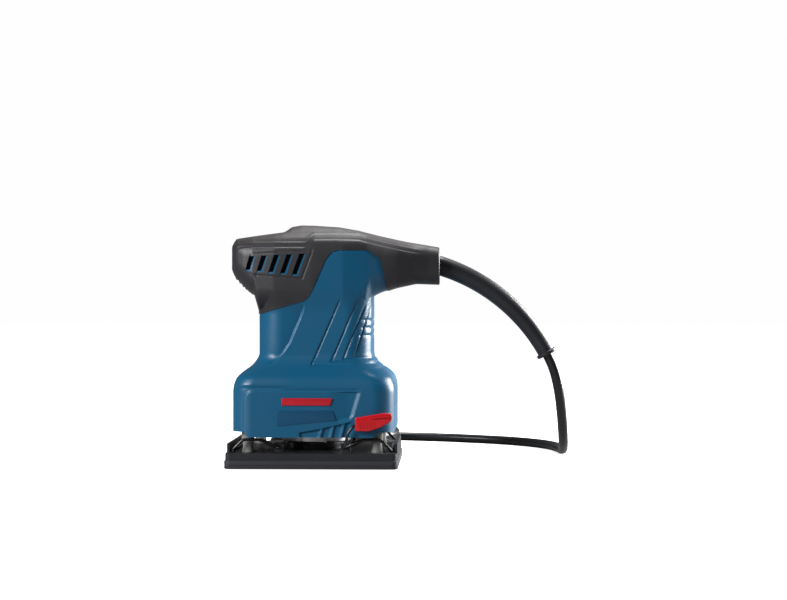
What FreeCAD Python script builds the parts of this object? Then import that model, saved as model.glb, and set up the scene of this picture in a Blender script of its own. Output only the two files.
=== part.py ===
import FreeCAD, Part
import math
import os
import re

import Sketcher
from FreeCAD import Placement, Rotation, Vector

# A palm-grip orbital sander: a blue two-part housing with a black grip over its
# head, a motor on a vertical shaft, an eccentric that makes the platen orbit,
# two wire paper clamps with levers, a rocker switch and a mains lead.
# +Z is up, +X is the cord end, the origin is on the motor axis at the sole.
# All lengths are millimetres and all angles degrees.

SIZES = {
    # platen
    "pad_length": 112.0, "pad_width": 101.0, "pad_corner": 4.0, "pad_thick": 4.2,
    "plate_inset": 0.7, "plate_top": 10.0, "lip_thick": 1.9, "lip_rise": 5.5, "lip_half": 39.0,
    "orbit": 0.8, "boss_radius": 17.0, "boss_top": 14.2,
    # skirt and neck of the housing
    "skirt_half_x": 53.5, "skirt_half_y": 46.2, "skirt_corner": 14.0, "skirt_top": 52.0,
    "neck_half_x": 37.8, "neck_half_y": 34.5, "neck_corner": 17.0, "neck_start": 70.0, "neck_end": 112.0,
    "side_low": 20.0, "end_low": 23.3, "side_panel_half": 42.0, "wall": 2.6,
    # head and handle
    "nose_x": 56.0, "handle_x": 82.4, "head_top": 158.5, "head_half_y": 37.5, "grip_thick": 1.8,
    "cap_low": 147.0,
    # vents
    "vent_x": -42.1, "vent_pitch": 7.7, "vent_lean": 2.9, "vent_lean_step": 0.55, "vent_width": 4.2,
    "vent_low": 127.3, "vent_high": 137.0, "vent_low_step": 0.75, "vent_high_step": 0.35, "vent_depth": 24.0,
    # motor
    "stator_half_x": 31.0, "stator_half_y": 28.0, "stator_corner": 12.0, "stator_low": 62.0,
    "stator_high": 92.0, "stator_bore": 16.0, "air_gap": 0.5, "coil_near": 19.0, "coil_far": 27.0,
    "coil_half": 22.0, "pole_half": 13.0, "coil_over": 8.0, "coil_clear": 0.3, "seat_height": 3.0,
    "winding_radius": 13.5, "commutator_radius": 11.0, "commutator_low": 104.0, "commutator_high": 116.0,
    "brush_gap": 0.15, "brush_half": 3.0, "brush_length": 11.0, "holder_wall": 1.5, "slot_clear": 0.05,
    # shaft, bearings, fan, counterweight
    "shaft_low": 16.4, "lower_radius": 6.0, "shaft_radius": 5.0, "upper_radius": 4.0, "shaft_top": 129.0,
    "run_clear": 0.02, "lower_ring": 14.0, "lower_seat": 24.5, "lower_width": 8.0, "upper_ring": 11.0,
    "upper_seat": 121.0, "upper_width": 7.0, "bridge_half": 15.0, "fan_radius": 36.0, "fan_low": 36.0,
    "fan_high": 46.0, "fan_hub": 9.0, "blade_thick": 1.2, "weight_radius": 23.0, "weight_low": 15.4,
    "weight_high": 20.5, "pin_radius": 5.0, "pin_low": 5.9, "pin_ring": 13.0, "pin_seat": 5.4,
    "pin_width": 7.0, "circlip_thick": 1.0, "circlip_lap": 0.5, "circlip_clear": 0.1,
    # bearing plate, feet and screws
    "bearing_plate_low": 26.0, "bearing_plate_high": 30.0, "plate_clear": 0.3, "foot_x": 42.0,
    "foot_y": 34.5, "foot_radius": 4.2, "foot_low": 7.3, "socket_floor": 7.0, "orbit_room": 1.8,
    "post_top": 50.0, "screw_radius": 1.5, "head_radius": 2.8, "head_height": 2.2, "post_radius": 3.6,
    # paper clamps
    "pivot_x": 21.6, "pivot_z": 13.0, "rod_radius": 1.0, "rod_clear": 0.05, "lug_y": 34.0,
    "lug_half": 3.0, "bar_x": 51.6, "bar_gap": 0.12, "arm_y": 41.5, "arm_x": 44.5, "arm_z": 18.3,
    "lever_y": 50.0, "lever_thick": 5.0, "lever_near": 28.7, "lever_far": 52.5, "lever_z": 30.0,
    # rocker switch, in its own frame about its pivot
    "rocker_x": -36.95, "rocker_z": 108.1, "rocker_slope": 111.8, "rocker_half": 6.2, "rocker_width": 6.8,
    "rocker_depth": 3.5, "rocker_proud": 1.2, "rocker_tilt": 6.0, "rocker_room": 1.0, "rocker_pin": 1.0,
    # cord
    "cord_radius": 3.4, "relief_start": 6.5, "relief_end": 5.6, "relief_bend": 121.5, "relief_z": 131.5,
    "relief_from": -17.0, "relief_to": -61.0, "relief_flange": 7.0, "relief_root": 4.5, "relief_clear": 0.3,
    "clamp_x": 68.0, "clamp_y": 8.0, "clamp_post": 3.2, "saddle_half": 11.0, "saddle_height": 6.0,
    "coil_x": 5.0, "coil_y": 112.0, "coil_outer": 48.0, "coil_inner": 27.0, "coil_lift": 0.9,
    "coil_tall": 13.2, "tie_half": 5.0, "tie_clear": 0.7, "plug_length": 40.0, "plug_half_y": 12.0,
    "plug_half_z": 7.1, "plug_pin_radius": 2.0, "plug_pin_length": 19.0, "plug_pin_half": 9.5,
    # blank badge plates
    "badge_x": -4.0, "badge_half": 18.0, "badge_low": 26.5, "badge_high": 37.5, "badge_thick": 0.8,
}

# Points of the cord that is not coiled, chosen by hand: out of the strain
# relief, down to the floor and round behind the sander into its coil.
CORD_ROUTE = [
    (153.14, 0.0, 74.21), (158.2, 0.0, 65.1), (162.2, 1.8, 48.5), (164.4, 7.5, 30.5), (166.2, 20.0, 15.3),
    (167.4, 37.5, 6.0), (168.0, 57.0, 3.4), (166.0, 82.0, 3.4), (156.0, 106.0, 3.4), (137.0, 127.0, 3.4),
    (110.0, 143.0, 3.5), (79.0, 155.0, 3.7), (45.0, 160.0, 4.1), (14.0, 160.0, 4.3),
]
# The last of the cord, up over the coil to the plug.
TAIL_ROUTE = [
    (49.5, 112.0, 10.4), (46.8, 125.8, 12.6), (39.0, 137.5, 16.2), (27.3, 145.3, 19.6), (13.5, 148.0, 21.2),
    (6.0, 148.0, 21.2),
]

document = FreeCAD.newDocument("Sander")
sheet = document.addObject("Spreadsheet::Sheet", "Sizes")
for row, (alias, size) in enumerate(SIZES.items(), start=1):
    sheet.set(f"A{row}", alias)
    sheet.set(f"B{row}", str(size))
    sheet.setAlias(f"B{row}", alias)
document.recompute()

PARTS = []

UPRIGHT = Rotation()
ALONG_X = Rotation(Vector(1, 1, 1), 120)
ALONG_Y = Rotation(Vector(1, 0, 0), 90)


# ---------------------------------------------------------------- helpers

def formula(text):
    """Point every size name in a formula at its cell."""
    def cell(found):
        word = found.group()
        return "Sizes." + word if word in SIZES else word
    return re.sub(r"[a-z][a-z0-9_]*", cell, str(text))


def number(text):
    """The value of a formula."""
    return float(sheet.evalExpression(formula(text)))


def bind(item, sizes):
    """Tie properties of a document object to formulas."""
    for name, text in sizes.items():
        item.setExpression(name, formula(text))


def place(item, x="0", y="0", z="0"):
    """Tie the place of a document object to formulas."""
    bind(item, {"Placement.Base.x": x, "Placement.Base.y": y, "Placement.Base.z": z})
    return item


def part(item, label):
    """Name a finished sub-part, which becomes a node."""
    item.Label = label
    PARTS.append(item)
    return item


def block(name, x, y, z):
    """A box between pairs of formulas."""
    item = document.addObject("Part::Box", name)
    bind(item, {"Length": f"({x[1]}) - ({x[0]})", "Width": f"({y[1]}) - ({y[0]})",
                "Height": f"({z[1]}) - ({z[0]})"})
    return place(item, x[0], y[0], z[0])


def round_bar(name, radius, low, high, x="0", y="0"):
    """An upright cylinder."""
    item = document.addObject("Part::Cylinder", name)
    bind(item, {"Radius": radius, "Height": f"({high}) - ({low})"})
    return place(item, x, y, low)


def cross_bar(name, radius, low, high, x, z):
    """A cylinder along Y, from low to high."""
    item = document.addObject("Part::Cylinder", name)
    item.Placement = Placement(Vector(), Rotation(Vector(1, 0, 0), -90))
    bind(item, {"Radius": radius, "Height": f"({high}) - ({low})"})
    return place(item, x, low, z)


def cut(name, base, *tools):
    """A solid less its tools."""
    item = document.addObject("Part::Cut", name)
    item.Base = base
    item.Tool = tools[0] if len(tools) == 1 else fuse(name + "_tools", *tools)
    return item


def fuse(name, *pieces):
    """The union of some solids."""
    item = document.addObject("Part::MultiFuse", name)
    item.Shapes = list(pieces)
    item.Refine = False
    return item


def common(name, first, second):
    """What two solids share."""
    item = document.addObject("Part::Common", name)
    item.Base = first
    item.Tool = second
    return item


def tie_point(sketch, geometry, end, u, v):
    """Hold one end of a line, or an arc's centre, at a pair of formulas."""
    for kind, text in (("DistanceX", u), ("DistanceY", v)):
        index = sketch.addConstraint(Sketcher.Constraint(kind, -1, 1, geometry, end, number(text)))
        sketch.setExpression(f"Constraints[{index}]", formula(text))


def polygon(sketch, points):
    """Draw a closed outline of straight lines through pairs of formulas."""
    corners = [Vector(number(u), number(v), 0) for u, v in points]
    count = len(corners)
    for index in range(count):
        sketch.addGeometry(Part.LineSegment(corners[index], corners[(index + 1) % count]))
    for index in range(count):
        sketch.addConstraint(Sketcher.Constraint("Coincident", index, 2, (index + 1) % count, 1))
    for index, (u, v) in enumerate(points):
        tie_point(sketch, index, 1, u, v)
    return sketch


def rounded(name, half_u, half_v, corner, middle="0", turn=UPRIGHT):
    """A rounded rectangle, centred on (0, middle) in its own plane."""
    sketch = document.addObject("Sketcher::SketchObject", name)
    sketch.Placement = Placement(Vector(), turn)
    radius = number(corner)
    signs = [(1, 1), (-1, 1), (-1, -1), (1, -1)]
    centres = [(f"{su} * (({half_u}) - ({corner}))", f"({middle}) + {sv} * (({half_v}) - ({corner}))")
               for su, sv in signs]
    places = [Vector(number(u), number(v), 0) for u, v in centres]
    for index, centre in enumerate(places):
        start = index * math.pi / 2
        circle = Part.Circle(centre, Vector(0, 0, 1), radius)
        sketch.addGeometry(Part.ArcOfCircle(circle, start, start + math.pi / 2))
    for index in range(4):
        after = (index + 1) % 4
        angle = (index + 1) * math.pi / 2
        step = Vector(math.cos(angle), math.sin(angle), 0) * radius
        sketch.addGeometry(Part.LineSegment(places[index] + step, places[after] + step))
    for index in range(4):
        line = 4 + index
        sketch.addConstraint(Sketcher.Constraint("Tangent", index, 2, line, 1))
        sketch.addConstraint(Sketcher.Constraint("Tangent", line, 2, (index + 1) % 4, 1))
    for index, (u, v) in enumerate(centres):
        turn_size = sketch.addConstraint(Sketcher.Constraint("Radius", index, radius))
        sketch.setExpression(f"Constraints[{turn_size}]", formula(corner))
        tie_point(sketch, index, 3, u, v)
    return sketch


def extrude(name, sketch, direction, length):
    """A prism on a sketch."""
    item = document.addObject("Part::Extrusion", name)
    item.Base = sketch
    item.DirMode = "Custom"
    item.Dir = direction
    item.Solid = True
    bind(item, {"LengthFwd": length})
    return item


def slab(name, half_x, half_y, corner, low, high):
    """An upright prism with a rounded rectangle for its outline."""
    sketch = place(rounded(name + "_outline", half_x, half_y, corner), z=low)
    return extrude(name, sketch, Vector(0, 0, 1), f"({high}) - ({low})")


def side_prism(name, points, low, high):
    """A prism along Y on an outline of (x, z) formulas."""
    sketch = document.addObject("Sketcher::SketchObject", name + "_outline")
    sketch.Placement = Placement(Vector(), ALONG_Y)
    polygon(sketch, points)
    place(sketch, y=low)
    return extrude(name, sketch, Vector(0, 1, 0), f"({high}) - ({low})")


def loft(name, sections):
    """A solid through outlines, with straight sides from one to the next."""
    item = document.addObject("Part::Loft", name)
    item.Sections = sections
    item.Solid = True
    item.Ruled = True
    return item


def origin_plane(body, role):
    """One of a body's own origin planes."""
    return [plane for plane in body.Origin.OriginFeatures if plane.Role == role][0]


def turned(name, profile, x="0"):
    """A body turned about an upright axis from its (radius, height) profile."""
    body = document.addObject("PartDesign::Body", name)
    sketch = body.newObject("Sketcher::SketchObject", name + "_profile")
    sketch.AttachmentSupport = [(origin_plane(body, "XZ_Plane"), "")]
    sketch.MapMode = "FlatFace"
    polygon(sketch, profile)
    spin = body.newObject("PartDesign::Revolution", name + "_spin")
    spin.Profile = sketch
    spin.ReferenceAxis = (sketch, ["V_Axis"])
    spin.Angle = 360.0
    return place(body, x=x)


def ring(name, inner, outer, low, high, x="0"):
    """A plain turned ring."""
    return turned(name, [(inner, low), (outer, low), (outer, high), (inner, high)], x)


def route_wire(points, bend=None):
    """Straight runs joined by tangent arcs, and the arcs' radii.

    Without a bend radius each arc is as large as its two runs allow.
    """
    places = [Vector(*point) for point in points]
    edges = []
    radii = []
    last = places[0]
    for before, corner, after in zip(places, places[1:], places[2:]):
        inward = (corner - before).normalize()
        outward = (after - corner).normalize()
        half = inward.getAngle(outward) / 2
        if bend is None:
            trim = 0.45 * min((corner - before).Length, (after - corner).Length)
        else:
            trim = bend * math.tan(half)
        radius = trim / math.tan(half)
        first = corner - inward * trim
        second = corner + outward * trim
        middle = corner + (outward - inward).normalize() * (radius / math.cos(half) - radius)
        edges.append(Part.LineSegment(last, first).toShape())
        edges.append(Part.Arc(first, middle, second).toShape())
        radii.append(radius)
        last = second
    edges.append(Part.LineSegment(last, places[-1]).toShape())
    return Part.Wire(edges), radii


def tube(name, points, radius, bend=None):
    """A round bar swept along a route."""
    wire, radii = route_wire(points, bend)
    start = Vector(*points[0])
    heading = Vector(*points[1]) - start
    section = Part.Wire([Part.Circle(start, heading, radius).toShape()])
    item = document.addObject("Part::Feature", name)
    item.Shape = wire.makePipeShell([section], True, False)
    expected = math.pi * radius ** 2 * wire.Length
    print(name, "length", round(wire.Length, 1), "volume ratio", round(item.Shape.Volume / expected, 4),
          "smallest bend", round(min(radii), 1), "bends", [round(radius_at) for radius_at in radii])
    return item


def spun_about_axis(item, name, step):
    """A copy of a solid, turned about the upright axis of the origin."""
    copy = document.addObject("Part::Feature", name)
    copy.Shape = item.Shape
    copy.Placement = Placement(Vector(), Rotation(Vector(0, 0, 1), step)) * item.Placement
    return copy


# ---------------------------------------------------------------- housing

def body_form(name, inset, low):
    """The skirt, shoulder and neck, drawn in by an inset."""
    levels = [
        (low, "skirt_half_x", "skirt_half_y", "skirt_corner"),
        ("skirt_top", "skirt_half_x", "skirt_half_y", "skirt_corner"),
        ("skirt_top + 4", "skirt_half_x - 1.6", "skirt_half_y - 1.2", "skirt_corner"),
        ("skirt_top + 7", "skirt_half_x - 4.2", "skirt_half_y - 3.2", "skirt_corner"),
        ("neck_start - 5", "neck_half_x + 2.6", "neck_half_y + 1.9", "neck_corner"),
        ("neck_start", "neck_half_x", "neck_half_y", "neck_corner"),
        ("neck_end", "neck_half_x", "neck_half_y", "neck_corner"),
    ]
    sections = []
    for index, (height, half_x, half_y, corner) in enumerate(levels):
        outline = rounded(f"{name}_{index}", f"{half_x} - {inset}", f"{half_y} - {inset}", f"{corner} - {inset}")
        sections.append(place(outline, z=height))
    return loft(name, sections)


def head_form(name, inset):
    """The head and handle, drawn in by an inset."""
    stations = [
        # x, low, high, half width, corner
        (f"{inset} - nose_x", "head_top - 34.5", "head_top - 14", "head_half_y - 13", "9"),
        (f"{inset} - nose_x + 3", "head_top - 37", "head_top - 10.2", "head_half_y - 8", "11"),
        (f"{inset} - nose_x + 10", "head_top - 43", "head_top - 8.4", "head_half_y - 4.5", "13"),
        ("-neck_half_x", "head_top - 54", "head_top - 7.2", "head_half_y - 2", "15"),
        ("-18", "neck_end - 13", "head_top - 3.7", "head_half_y", "16"),
        ("-13", "neck_end - 13", "head_top", "head_half_y", "17"),
        ("20", "neck_end - 13", "head_top - 3.5", "head_half_y - 1", "17"),
        ("neck_half_x + 5", "head_top - 45.3", "head_top - 7.5", "head_half_y - 8", "14"),
        ("handle_x - 22", "head_top - 40.5", "head_top - 11", "head_half_y - 17", "11"),
        (f"handle_x - {inset}", "head_top - 39.9", "head_top - 15.1", "head_half_y - 22.5", "8"),
    ]
    sections = []
    for index, (x, low, high, half_y, corner) in enumerate(stations):
        half_z = f"(({high}) - ({low})) / 2 - {inset}"
        middle = f"(({high}) + ({low})) / 2"
        outline = rounded(f"{name}_{index}", f"{half_y} - {inset}", half_z, f"{corner} - {inset}", middle, ALONG_X)
        sections.append(place(outline, x=x))
    return loft(name, sections)


def grip_region():
    """The side outline of the black grip: nose, top and handle, round a blue side window."""
    return side_prism("grip_region", [
        ("-nose_x - 10", "neck_end - 12.8"), ("-neck_half_x", "neck_end - 12.8"), ("-8.1", "neck_end - 4.5"),
        ("-1.3", "neck_end + 3.9"), ("3.5", "neck_end + 15.3"), ("8.5", "head_top - 20.5"),
        ("16", "head_top - 16.5"), ("36", "head_top - 17.5"), ("44", "head_top - 23.5"),
        ("47.5", "head_top - 40"), ("49", "neck_end - 12"), ("handle_x + 10", "neck_end - 12"),
        ("handle_x + 10", "head_top + 10"), ("-nose_x - 10", "head_top + 10"),
    ], "-head_half_y - 5", "head_half_y + 5")


def vent_tool():
    """Five slanted slots a side, growing towards the rear."""
    slots = []
    for index in range(5):
        low_x = f"vent_x + {index} * vent_pitch"
        high_x = f"{low_x} + vent_lean + {index} * vent_lean_step"
        low_z = f"vent_low - {index} * vent_low_step"
        high_z = f"vent_high + {index} * vent_high_step"
        half = "vent_width / 2"
        slots.append(side_prism(f"vent_{index}", [
            (f"{low_x} - {half}", low_z), (f"{low_x} + {half}", low_z),
            (f"{high_x} + {half}", high_z), (f"{high_x} - {half}", high_z),
        ], "-head_half_y - 5", "head_half_y + 5"))
    keep = block("vent_keep", ("-nose_x", "nose_x"), ("-vent_depth", "vent_depth"), ("neck_end", "head_top"))
    return cut("vent_tool", fuse("vent_slots", *slots), keep)


def rocker_frame(item, tilt="0"):
    """Stand a piece in the rocker's own frame: x up the slope, y out of the face."""
    angle = number(f"rocker_slope + {tilt}")
    along = Vector(math.cos(math.radians(angle)), 0, math.sin(math.radians(angle)))
    out = Vector(-along.z, 0, along.x)
    item.Placement = Placement(Vector(), Rotation(along, out, Vector(), "XYZ"))
    return item


def rocker_prism(name, points, half, tilt="0"):
    """A prism across the tool on an outline in the rocker's frame."""
    sketch = document.addObject("Sketcher::SketchObject", name + "_outline")
    polygon(sketch, points)
    rocker_frame(sketch, tilt)
    place(sketch, "rocker_x", f"-({half})", "rocker_z")
    return extrude(name, sketch, Vector(0, 1, 0), f"2 * ({half})")


def switch_opening():
    """The hole that the rocker sits in."""
    long = "rocker_half + rocker_room"
    return rocker_prism("switch_opening", [
        (f"-({long})", "-6"), (long, "-6"), (long, "rocker_depth + 12"), (f"-({long})", "rocker_depth + 12"),
    ], "rocker_width + 0.4")


def screw_places():
    """Where the screws that join the two halves cross the tool: name, x, z, head depth."""
    return [
        ("front_low", "8 - skirt_half_x", "skirt_top - 12", "skirt_half_y - 18"),
        ("rear_low", "skirt_half_x - 8", "skirt_top - 12", "skirt_half_y - 18"),
        ("nose", "12 - nose_x", "head_top - 16.5", "head_half_y - 20"),
        ("handle", "handle_x - 27", "head_top - 17.5", "head_half_y - 27"),
    ]


def housing_halves():
    """The blue shell with its seats, posts and openings, as two halves, and the black grip."""
    body_outer = body_form("body_outer", "0", "side_low")
    body_inner = body_form("body_inner", "wall", "side_low - 5")
    head_outer = head_form("head_outer", "0")
    head_middle = head_form("head_middle", "grip_thick")
    head_inner = head_form("head_inner", "(grip_thick + wall)")
    region = grip_region()
    cavity = fuse("cavity", body_inner, head_inner)
    form = fuse("form", body_outer, head_outer)
    grip_tool = cut("grip_tool", region, head_middle)

    seat_blocks = [
        slab(f"seat_{index}", "skirt_half_x", "skirt_half_y", "skirt_corner", low, f"{low} + seat_height")
        for index, low in enumerate(("stator_low + 2", "stator_high - 2 - seat_height"))
    ]
    stator_room = slab("stator_room", "stator_half_x", "stator_half_y", "stator_corner", "stator_low", "stator_high")
    seats = cut("seats", common("seats_in", fuse("seat_blocks", *seat_blocks), body_outer), stator_room)

    bridge_block = block("bridge_block", ("-bridge_half", "bridge_half"), ("-head_half_y", "head_half_y"),
                         ("upper_seat - 2", "upper_seat + upper_width + 1.5"))
    bridge = cut("bridge", common("bridge_in", bridge_block, head_middle),
                 round_bar("upper_ring_room", "upper_ring", "upper_seat", "upper_seat + upper_width"),
                 round_bar("upper_shaft_room", "shaft_radius + 1", "upper_seat - 3", "upper_seat + upper_width + 3"))

    posts = []
    bores = []
    for name, x, z, head_y in screw_places():
        posts.append(cross_bar("post_" + name, "post_radius", "-skirt_half_y", "skirt_half_y", x, z))
        bores.append(cross_bar("bore_" + name, "screw_radius", f"{head_y} - 20", f"{head_y} + 1", x, z))
        bores.append(cross_bar("recess_" + name, "head_radius + 0.3", head_y, "skirt_half_y + 5", x, z))
    for sign_x in (1, -1):
        for sign_y in (1, -1):
            name = f"foot_post_{sign_x + 1}{sign_y + 1}"
            x = f"{sign_x} * foot_x"
            y = f"{sign_y} * foot_y"
            posts.append(round_bar(name, "foot_radius", "bearing_plate_high", "post_top", x, y))
            bores.append(round_bar(name + "_bore", "screw_radius", "bearing_plate_high - 1",
                                   "bearing_plate_high + 10", x, y))
    for index, y in enumerate(("-clamp_y", "clamp_y")):
        posts.append(round_bar(f"clamp_post_{index}", "clamp_post", "neck_end", "relief_z", "clamp_x", y))
        bores.append(round_bar(f"clamp_bore_{index}", "screw_radius", "relief_z - 5", "relief_z", "clamp_x", y))
    posts_in = common("posts_in", fuse("posts", *posts), cut("form_inside", form, grip_tool))

    ends = [
        block("end_front", ("-skirt_half_x - 5", "-side_panel_half"), ("-60", "60"), ("side_low - 5", "end_low")),
        block("end_rear", ("side_panel_half", "skirt_half_x + 5"), ("-60", "60"), ("side_low - 5", "end_low")),
    ]
    relief_hole = document.addObject("Part::Cylinder", "relief_hole")
    relief_hole.Placement = Placement(Vector(), Rotation(Vector(0, 1, 0), 90))
    bind(relief_hole, {"Radius": "relief_start + relief_clear", "Height": "30"})
    place(relief_hole, "handle_x - 10", "0", "relief_z")

    vents = vent_tool()
    opening = switch_opening()
    shell = cut("shell", cut("shell_walls", form, cavity), grip_tool)
    inside = fuse("inside", seats, bridge, posts_in)
    full = cut("shell_full", fuse("shell_parts", shell, inside), *bores, *ends, relief_hole, vents, opening)
    grip_full = cut("grip_full", common("grip_form", head_outer, grip_tool), body_outer,
                    *bores, vents, opening, relief_hole)

    for side, low, high in (("left", "-60", "0"), ("right", "0", "60")):
        half = block("half_" + side, ("-nose_x - 20", "handle_x + 20"), (low, high), ("0", "head_top + 20"))
        part(common("housing_" + side, full, half), "housing_" + side)
        below = block("below_" + side, ("-nose_x - 20", "handle_x + 20"), (low, high), ("0", "cap_low"))
        part(common("grip_" + side, grip_full, below), "grip_" + side)
    above = block("above_cap", ("-nose_x - 20", "handle_x + 20"), ("-60", "60"), ("cap_low", "head_top + 20"))
    part(common("grip_top", grip_full, above), "grip_top")


def housing_screws():
    """Screws across the tool that join the two halves."""
    solids = []
    for name, x, z, head_y in screw_places():
        solids.append(cross_bar("shank_" + name, "screw_radius", f"{head_y} - 18", head_y, x, z))
        solids.append(cross_bar("head_" + name, "head_radius", head_y, f"{head_y} + head_height", x, z))
    part(fuse("housing_screws", *solids), "housing_screws")


def bearing_plate():
    """The metal plate across the skirt that holds the lower bearing."""
    inset = "(wall + plate_clear)"
    plate = slab("plate_slab", f"skirt_half_x - {inset}", f"skirt_half_y - {inset}", f"skirt_corner - {inset}",
                 "bearing_plate_low", "bearing_plate_high")
    hub = round_bar("plate_hub", "lower_ring + 3.5", "lower_seat", "lower_seat + lower_width + 1.5")
    holes = [round_bar(f"plate_hole_{sign_x + 1}{sign_y + 1}", "screw_radius", "bearing_plate_low - 1",
                       "bearing_plate_high + 1", f"{sign_x} * foot_x", f"{sign_y} * foot_y")
             for sign_x in (1, -1) for sign_y in (1, -1)]
    seat = round_bar("plate_seat", "lower_ring", "lower_seat - 1", "lower_seat + lower_width")
    eye = round_bar("plate_eye", "lower_radius + 2", "lower_seat", "lower_seat + lower_width + 3")
    part(cut("bearing_plate", fuse("plate_and_hub", plate, hub), seat, eye, *holes), "bearing_plate")


def bearings():
    """The two shaft bearings, each as one ring."""
    part(ring("lower_bearing", "lower_radius + run_clear", "lower_ring", "lower_seat", "lower_seat + lower_width"),
         "lower_bearing")
    part(ring("upper_bearing", "upper_radius", "upper_ring", "upper_seat", "upper_seat + upper_width"),
         "upper_bearing")


def feet():
    """Four isolator feet between the housing and the platen, with their screws."""
    screws = []
    for end, sign_x in (("front", -1), ("rear", 1)):
        for side, sign_y in (("left", -1), ("right", 1)):
            name = f"foot_{end}_{side}"
            x = f"{sign_x} * foot_x"
            y = f"{sign_y} * foot_y"
            head = "foot_low + 3"
            foot = round_bar(name + "_bar", "foot_radius", "foot_low", "bearing_plate_low", x, y)
            bore = round_bar(name + "_bore", "screw_radius", "foot_low", "bearing_plate_low", x, y)
            sink = round_bar(name + "_sink", "head_radius + 0.2", "foot_low - 1", f"{head} + head_height", x, y)
            part(cut(name, foot, bore, sink), name)
            screws.append(round_bar(name + "_shank", "screw_radius", f"{head} + head_height",
                                    "bearing_plate_high + 9", x, y))
            screws.append(round_bar(name + "_head", "head_radius", head, f"{head} + head_height", x, y))
    part(fuse("foot_screws", *screws), "foot_screws")


def badges():
    """A blank plate on each side of the skirt."""
    for side, low, high in (("left", "-skirt_half_y - badge_thick", "-skirt_half_y"),
                            ("right", "skirt_half_y", "skirt_half_y + badge_thick")):
        part(block("badge_" + side, ("badge_x - badge_half", "badge_x + badge_half"), (low, high),
                   ("badge_low", "badge_high")), "badge_" + side)


# ---------------------------------------------------------------- motor

def stator():
    """The laminated core with a window each side of each pole."""
    core = slab("stator_core_slab", "stator_half_x", "stator_half_y", "stator_corner", "stator_low", "stator_high")
    tools = [round_bar("stator_bore", "stator_bore", "stator_low - 1", "stator_high + 1")]
    for sign_x in (1, -1):
        for sign_y in (1, -1):
            x = sorted((f"{sign_x} * (coil_near - coil_clear)", f"{sign_x} * (coil_far + coil_clear)"), key=number)
            y = sorted((f"{sign_y} * (pole_half - coil_clear)", f"{sign_y} * (coil_half + coil_clear)"), key=number)
            tools.append(block(f"window_{sign_x + 1}{sign_y + 1}", x, y, ("stator_low - 1", "stator_high + 1")))
    part(cut("stator_core", core, *tools), "stator_core")


def field_coils():
    """A wound loop round each pole."""
    for end, sign in (("front", -1), ("rear", 1)):
        x = sorted((f"{sign} * coil_near", f"{sign} * coil_far"), key=number)
        outer = block(f"coil_{end}_outer", x, ("-coil_half", "coil_half"),
                      ("stator_low - coil_over", "stator_high + coil_over"))
        inner = block(f"coil_{end}_inner", (f"({x[0]}) - 1", f"({x[1]}) + 1"), ("-pole_half", "pole_half"),
                      ("stator_low - coil_clear", "stator_high + coil_clear"))
        part(cut(f"field_coil_{end}", outer, inner), f"field_coil_{end}")


def brushes():
    """A holder and a carbon brush on each side of the commutator."""
    middle = "(commutator_low + commutator_high) / 2"
    tip = "commutator_radius + brush_gap"
    for side, sign in (("left", -1), ("right", 1)):
        def span(near, far):
            return sorted((f"{sign} * ({near})", f"{sign} * ({far})"), key=number)
        bar = "brush_half + holder_wall"
        room = "brush_half + slot_clear"
        outer = block(f"holder_{side}_outer", (f"-({bar})", bar), span(f"{tip} + 1.5", "neck_half_y - wall"),
                      (f"{middle} - ({bar})", f"{middle} + {bar}"))
        inner = block(f"holder_{side}_inner", (f"-({room})", room), span(f"{tip} - 1", f"{tip} + brush_length + 4"),
                      (f"{middle} - ({room})", f"{middle} + {room}"))
        part(cut(f"brush_holder_{side}", outer, inner), f"brush_holder_{side}")
        part(block(f"carbon_brush_{side}", ("-brush_half", "brush_half"), span(tip, f"{tip} + brush_length"),
                   (f"{middle} - brush_half", f"{middle} + brush_half")), f"carbon_brush_{side}")


def shaft():
    """The stepped motor shaft."""
    part(turned("rotor_shaft", [
        ("0", "shaft_low"), ("lower_radius", "shaft_low"), ("lower_radius", "fan_low"), ("shaft_radius", "fan_low"),
        ("shaft_radius", "upper_seat - 3"), ("upper_radius - run_clear", "upper_seat - 3"),
        ("upper_radius - run_clear", "shaft_top"), ("0", "shaft_top"),
    ]), "rotor_shaft")


def armature():
    """The slotted armature core and the windings in its slots."""
    core_radius = "stator_bore - air_gap"
    core = ring("armature_ring", "shaft_radius", core_radius, "stator_low - 1", "stator_high + 1")
    document.recompute()
    bars = []
    slots = []
    count = 8
    for index in range(count):
        step = 360 / count * index
        for kind, room, pile in (("bar", "0", bars), ("slot", "slot_clear", slots)):
            bar = block(f"winding_{kind}_{index}", ("shaft_radius + 3", f"winding_radius + {room}"),
                        (f"-1.6 - {room}", f"1.6 + {room}"), ("stator_low - 2", "stator_high + 2"))
            document.recompute()
            pile.append(spun_about_axis(bar, f"winding_{kind}_{index}_turned", step))
    part(cut("armature_core", core, *slots), "armature_core")
    ends = [ring(f"winding_end_{index}", "shaft_radius", "winding_radius", low, high)
            for index, (low, high) in enumerate((("stator_low - coil_over", "stator_low - 1.5"),
                                                 ("stator_high + 1.5", "stator_high + coil_over")))]
    part(fuse("armature_windings", *ends, *bars), "armature_windings")


def commutator():
    """The commutator ring."""
    part(ring("commutator", "shaft_radius", "commutator_radius", "commutator_low", "commutator_high"), "commutator")


def fan():
    """A disc with radial blades and a hub."""
    disc = ring("fan_disc", "shaft_radius", "fan_radius", "fan_low", "fan_low + 1.5")
    hub = ring("fan_hub_ring", "shaft_radius", "fan_hub", "fan_low", "fan_high")
    document.recompute()
    blades = []
    count = 12
    for index in range(count):
        blade = block(f"blade_{index}", ("fan_hub - 1", "fan_radius - 0.5"), ("-blade_thick / 2", "blade_thick / 2"),
                      ("fan_low + 1", "fan_high"))
        document.recompute()
        blades.append(spun_about_axis(blade, f"blade_{index}_turned", 360 / count * index))
    part(fuse("fan", disc, hub, *blades), "fan")


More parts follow.
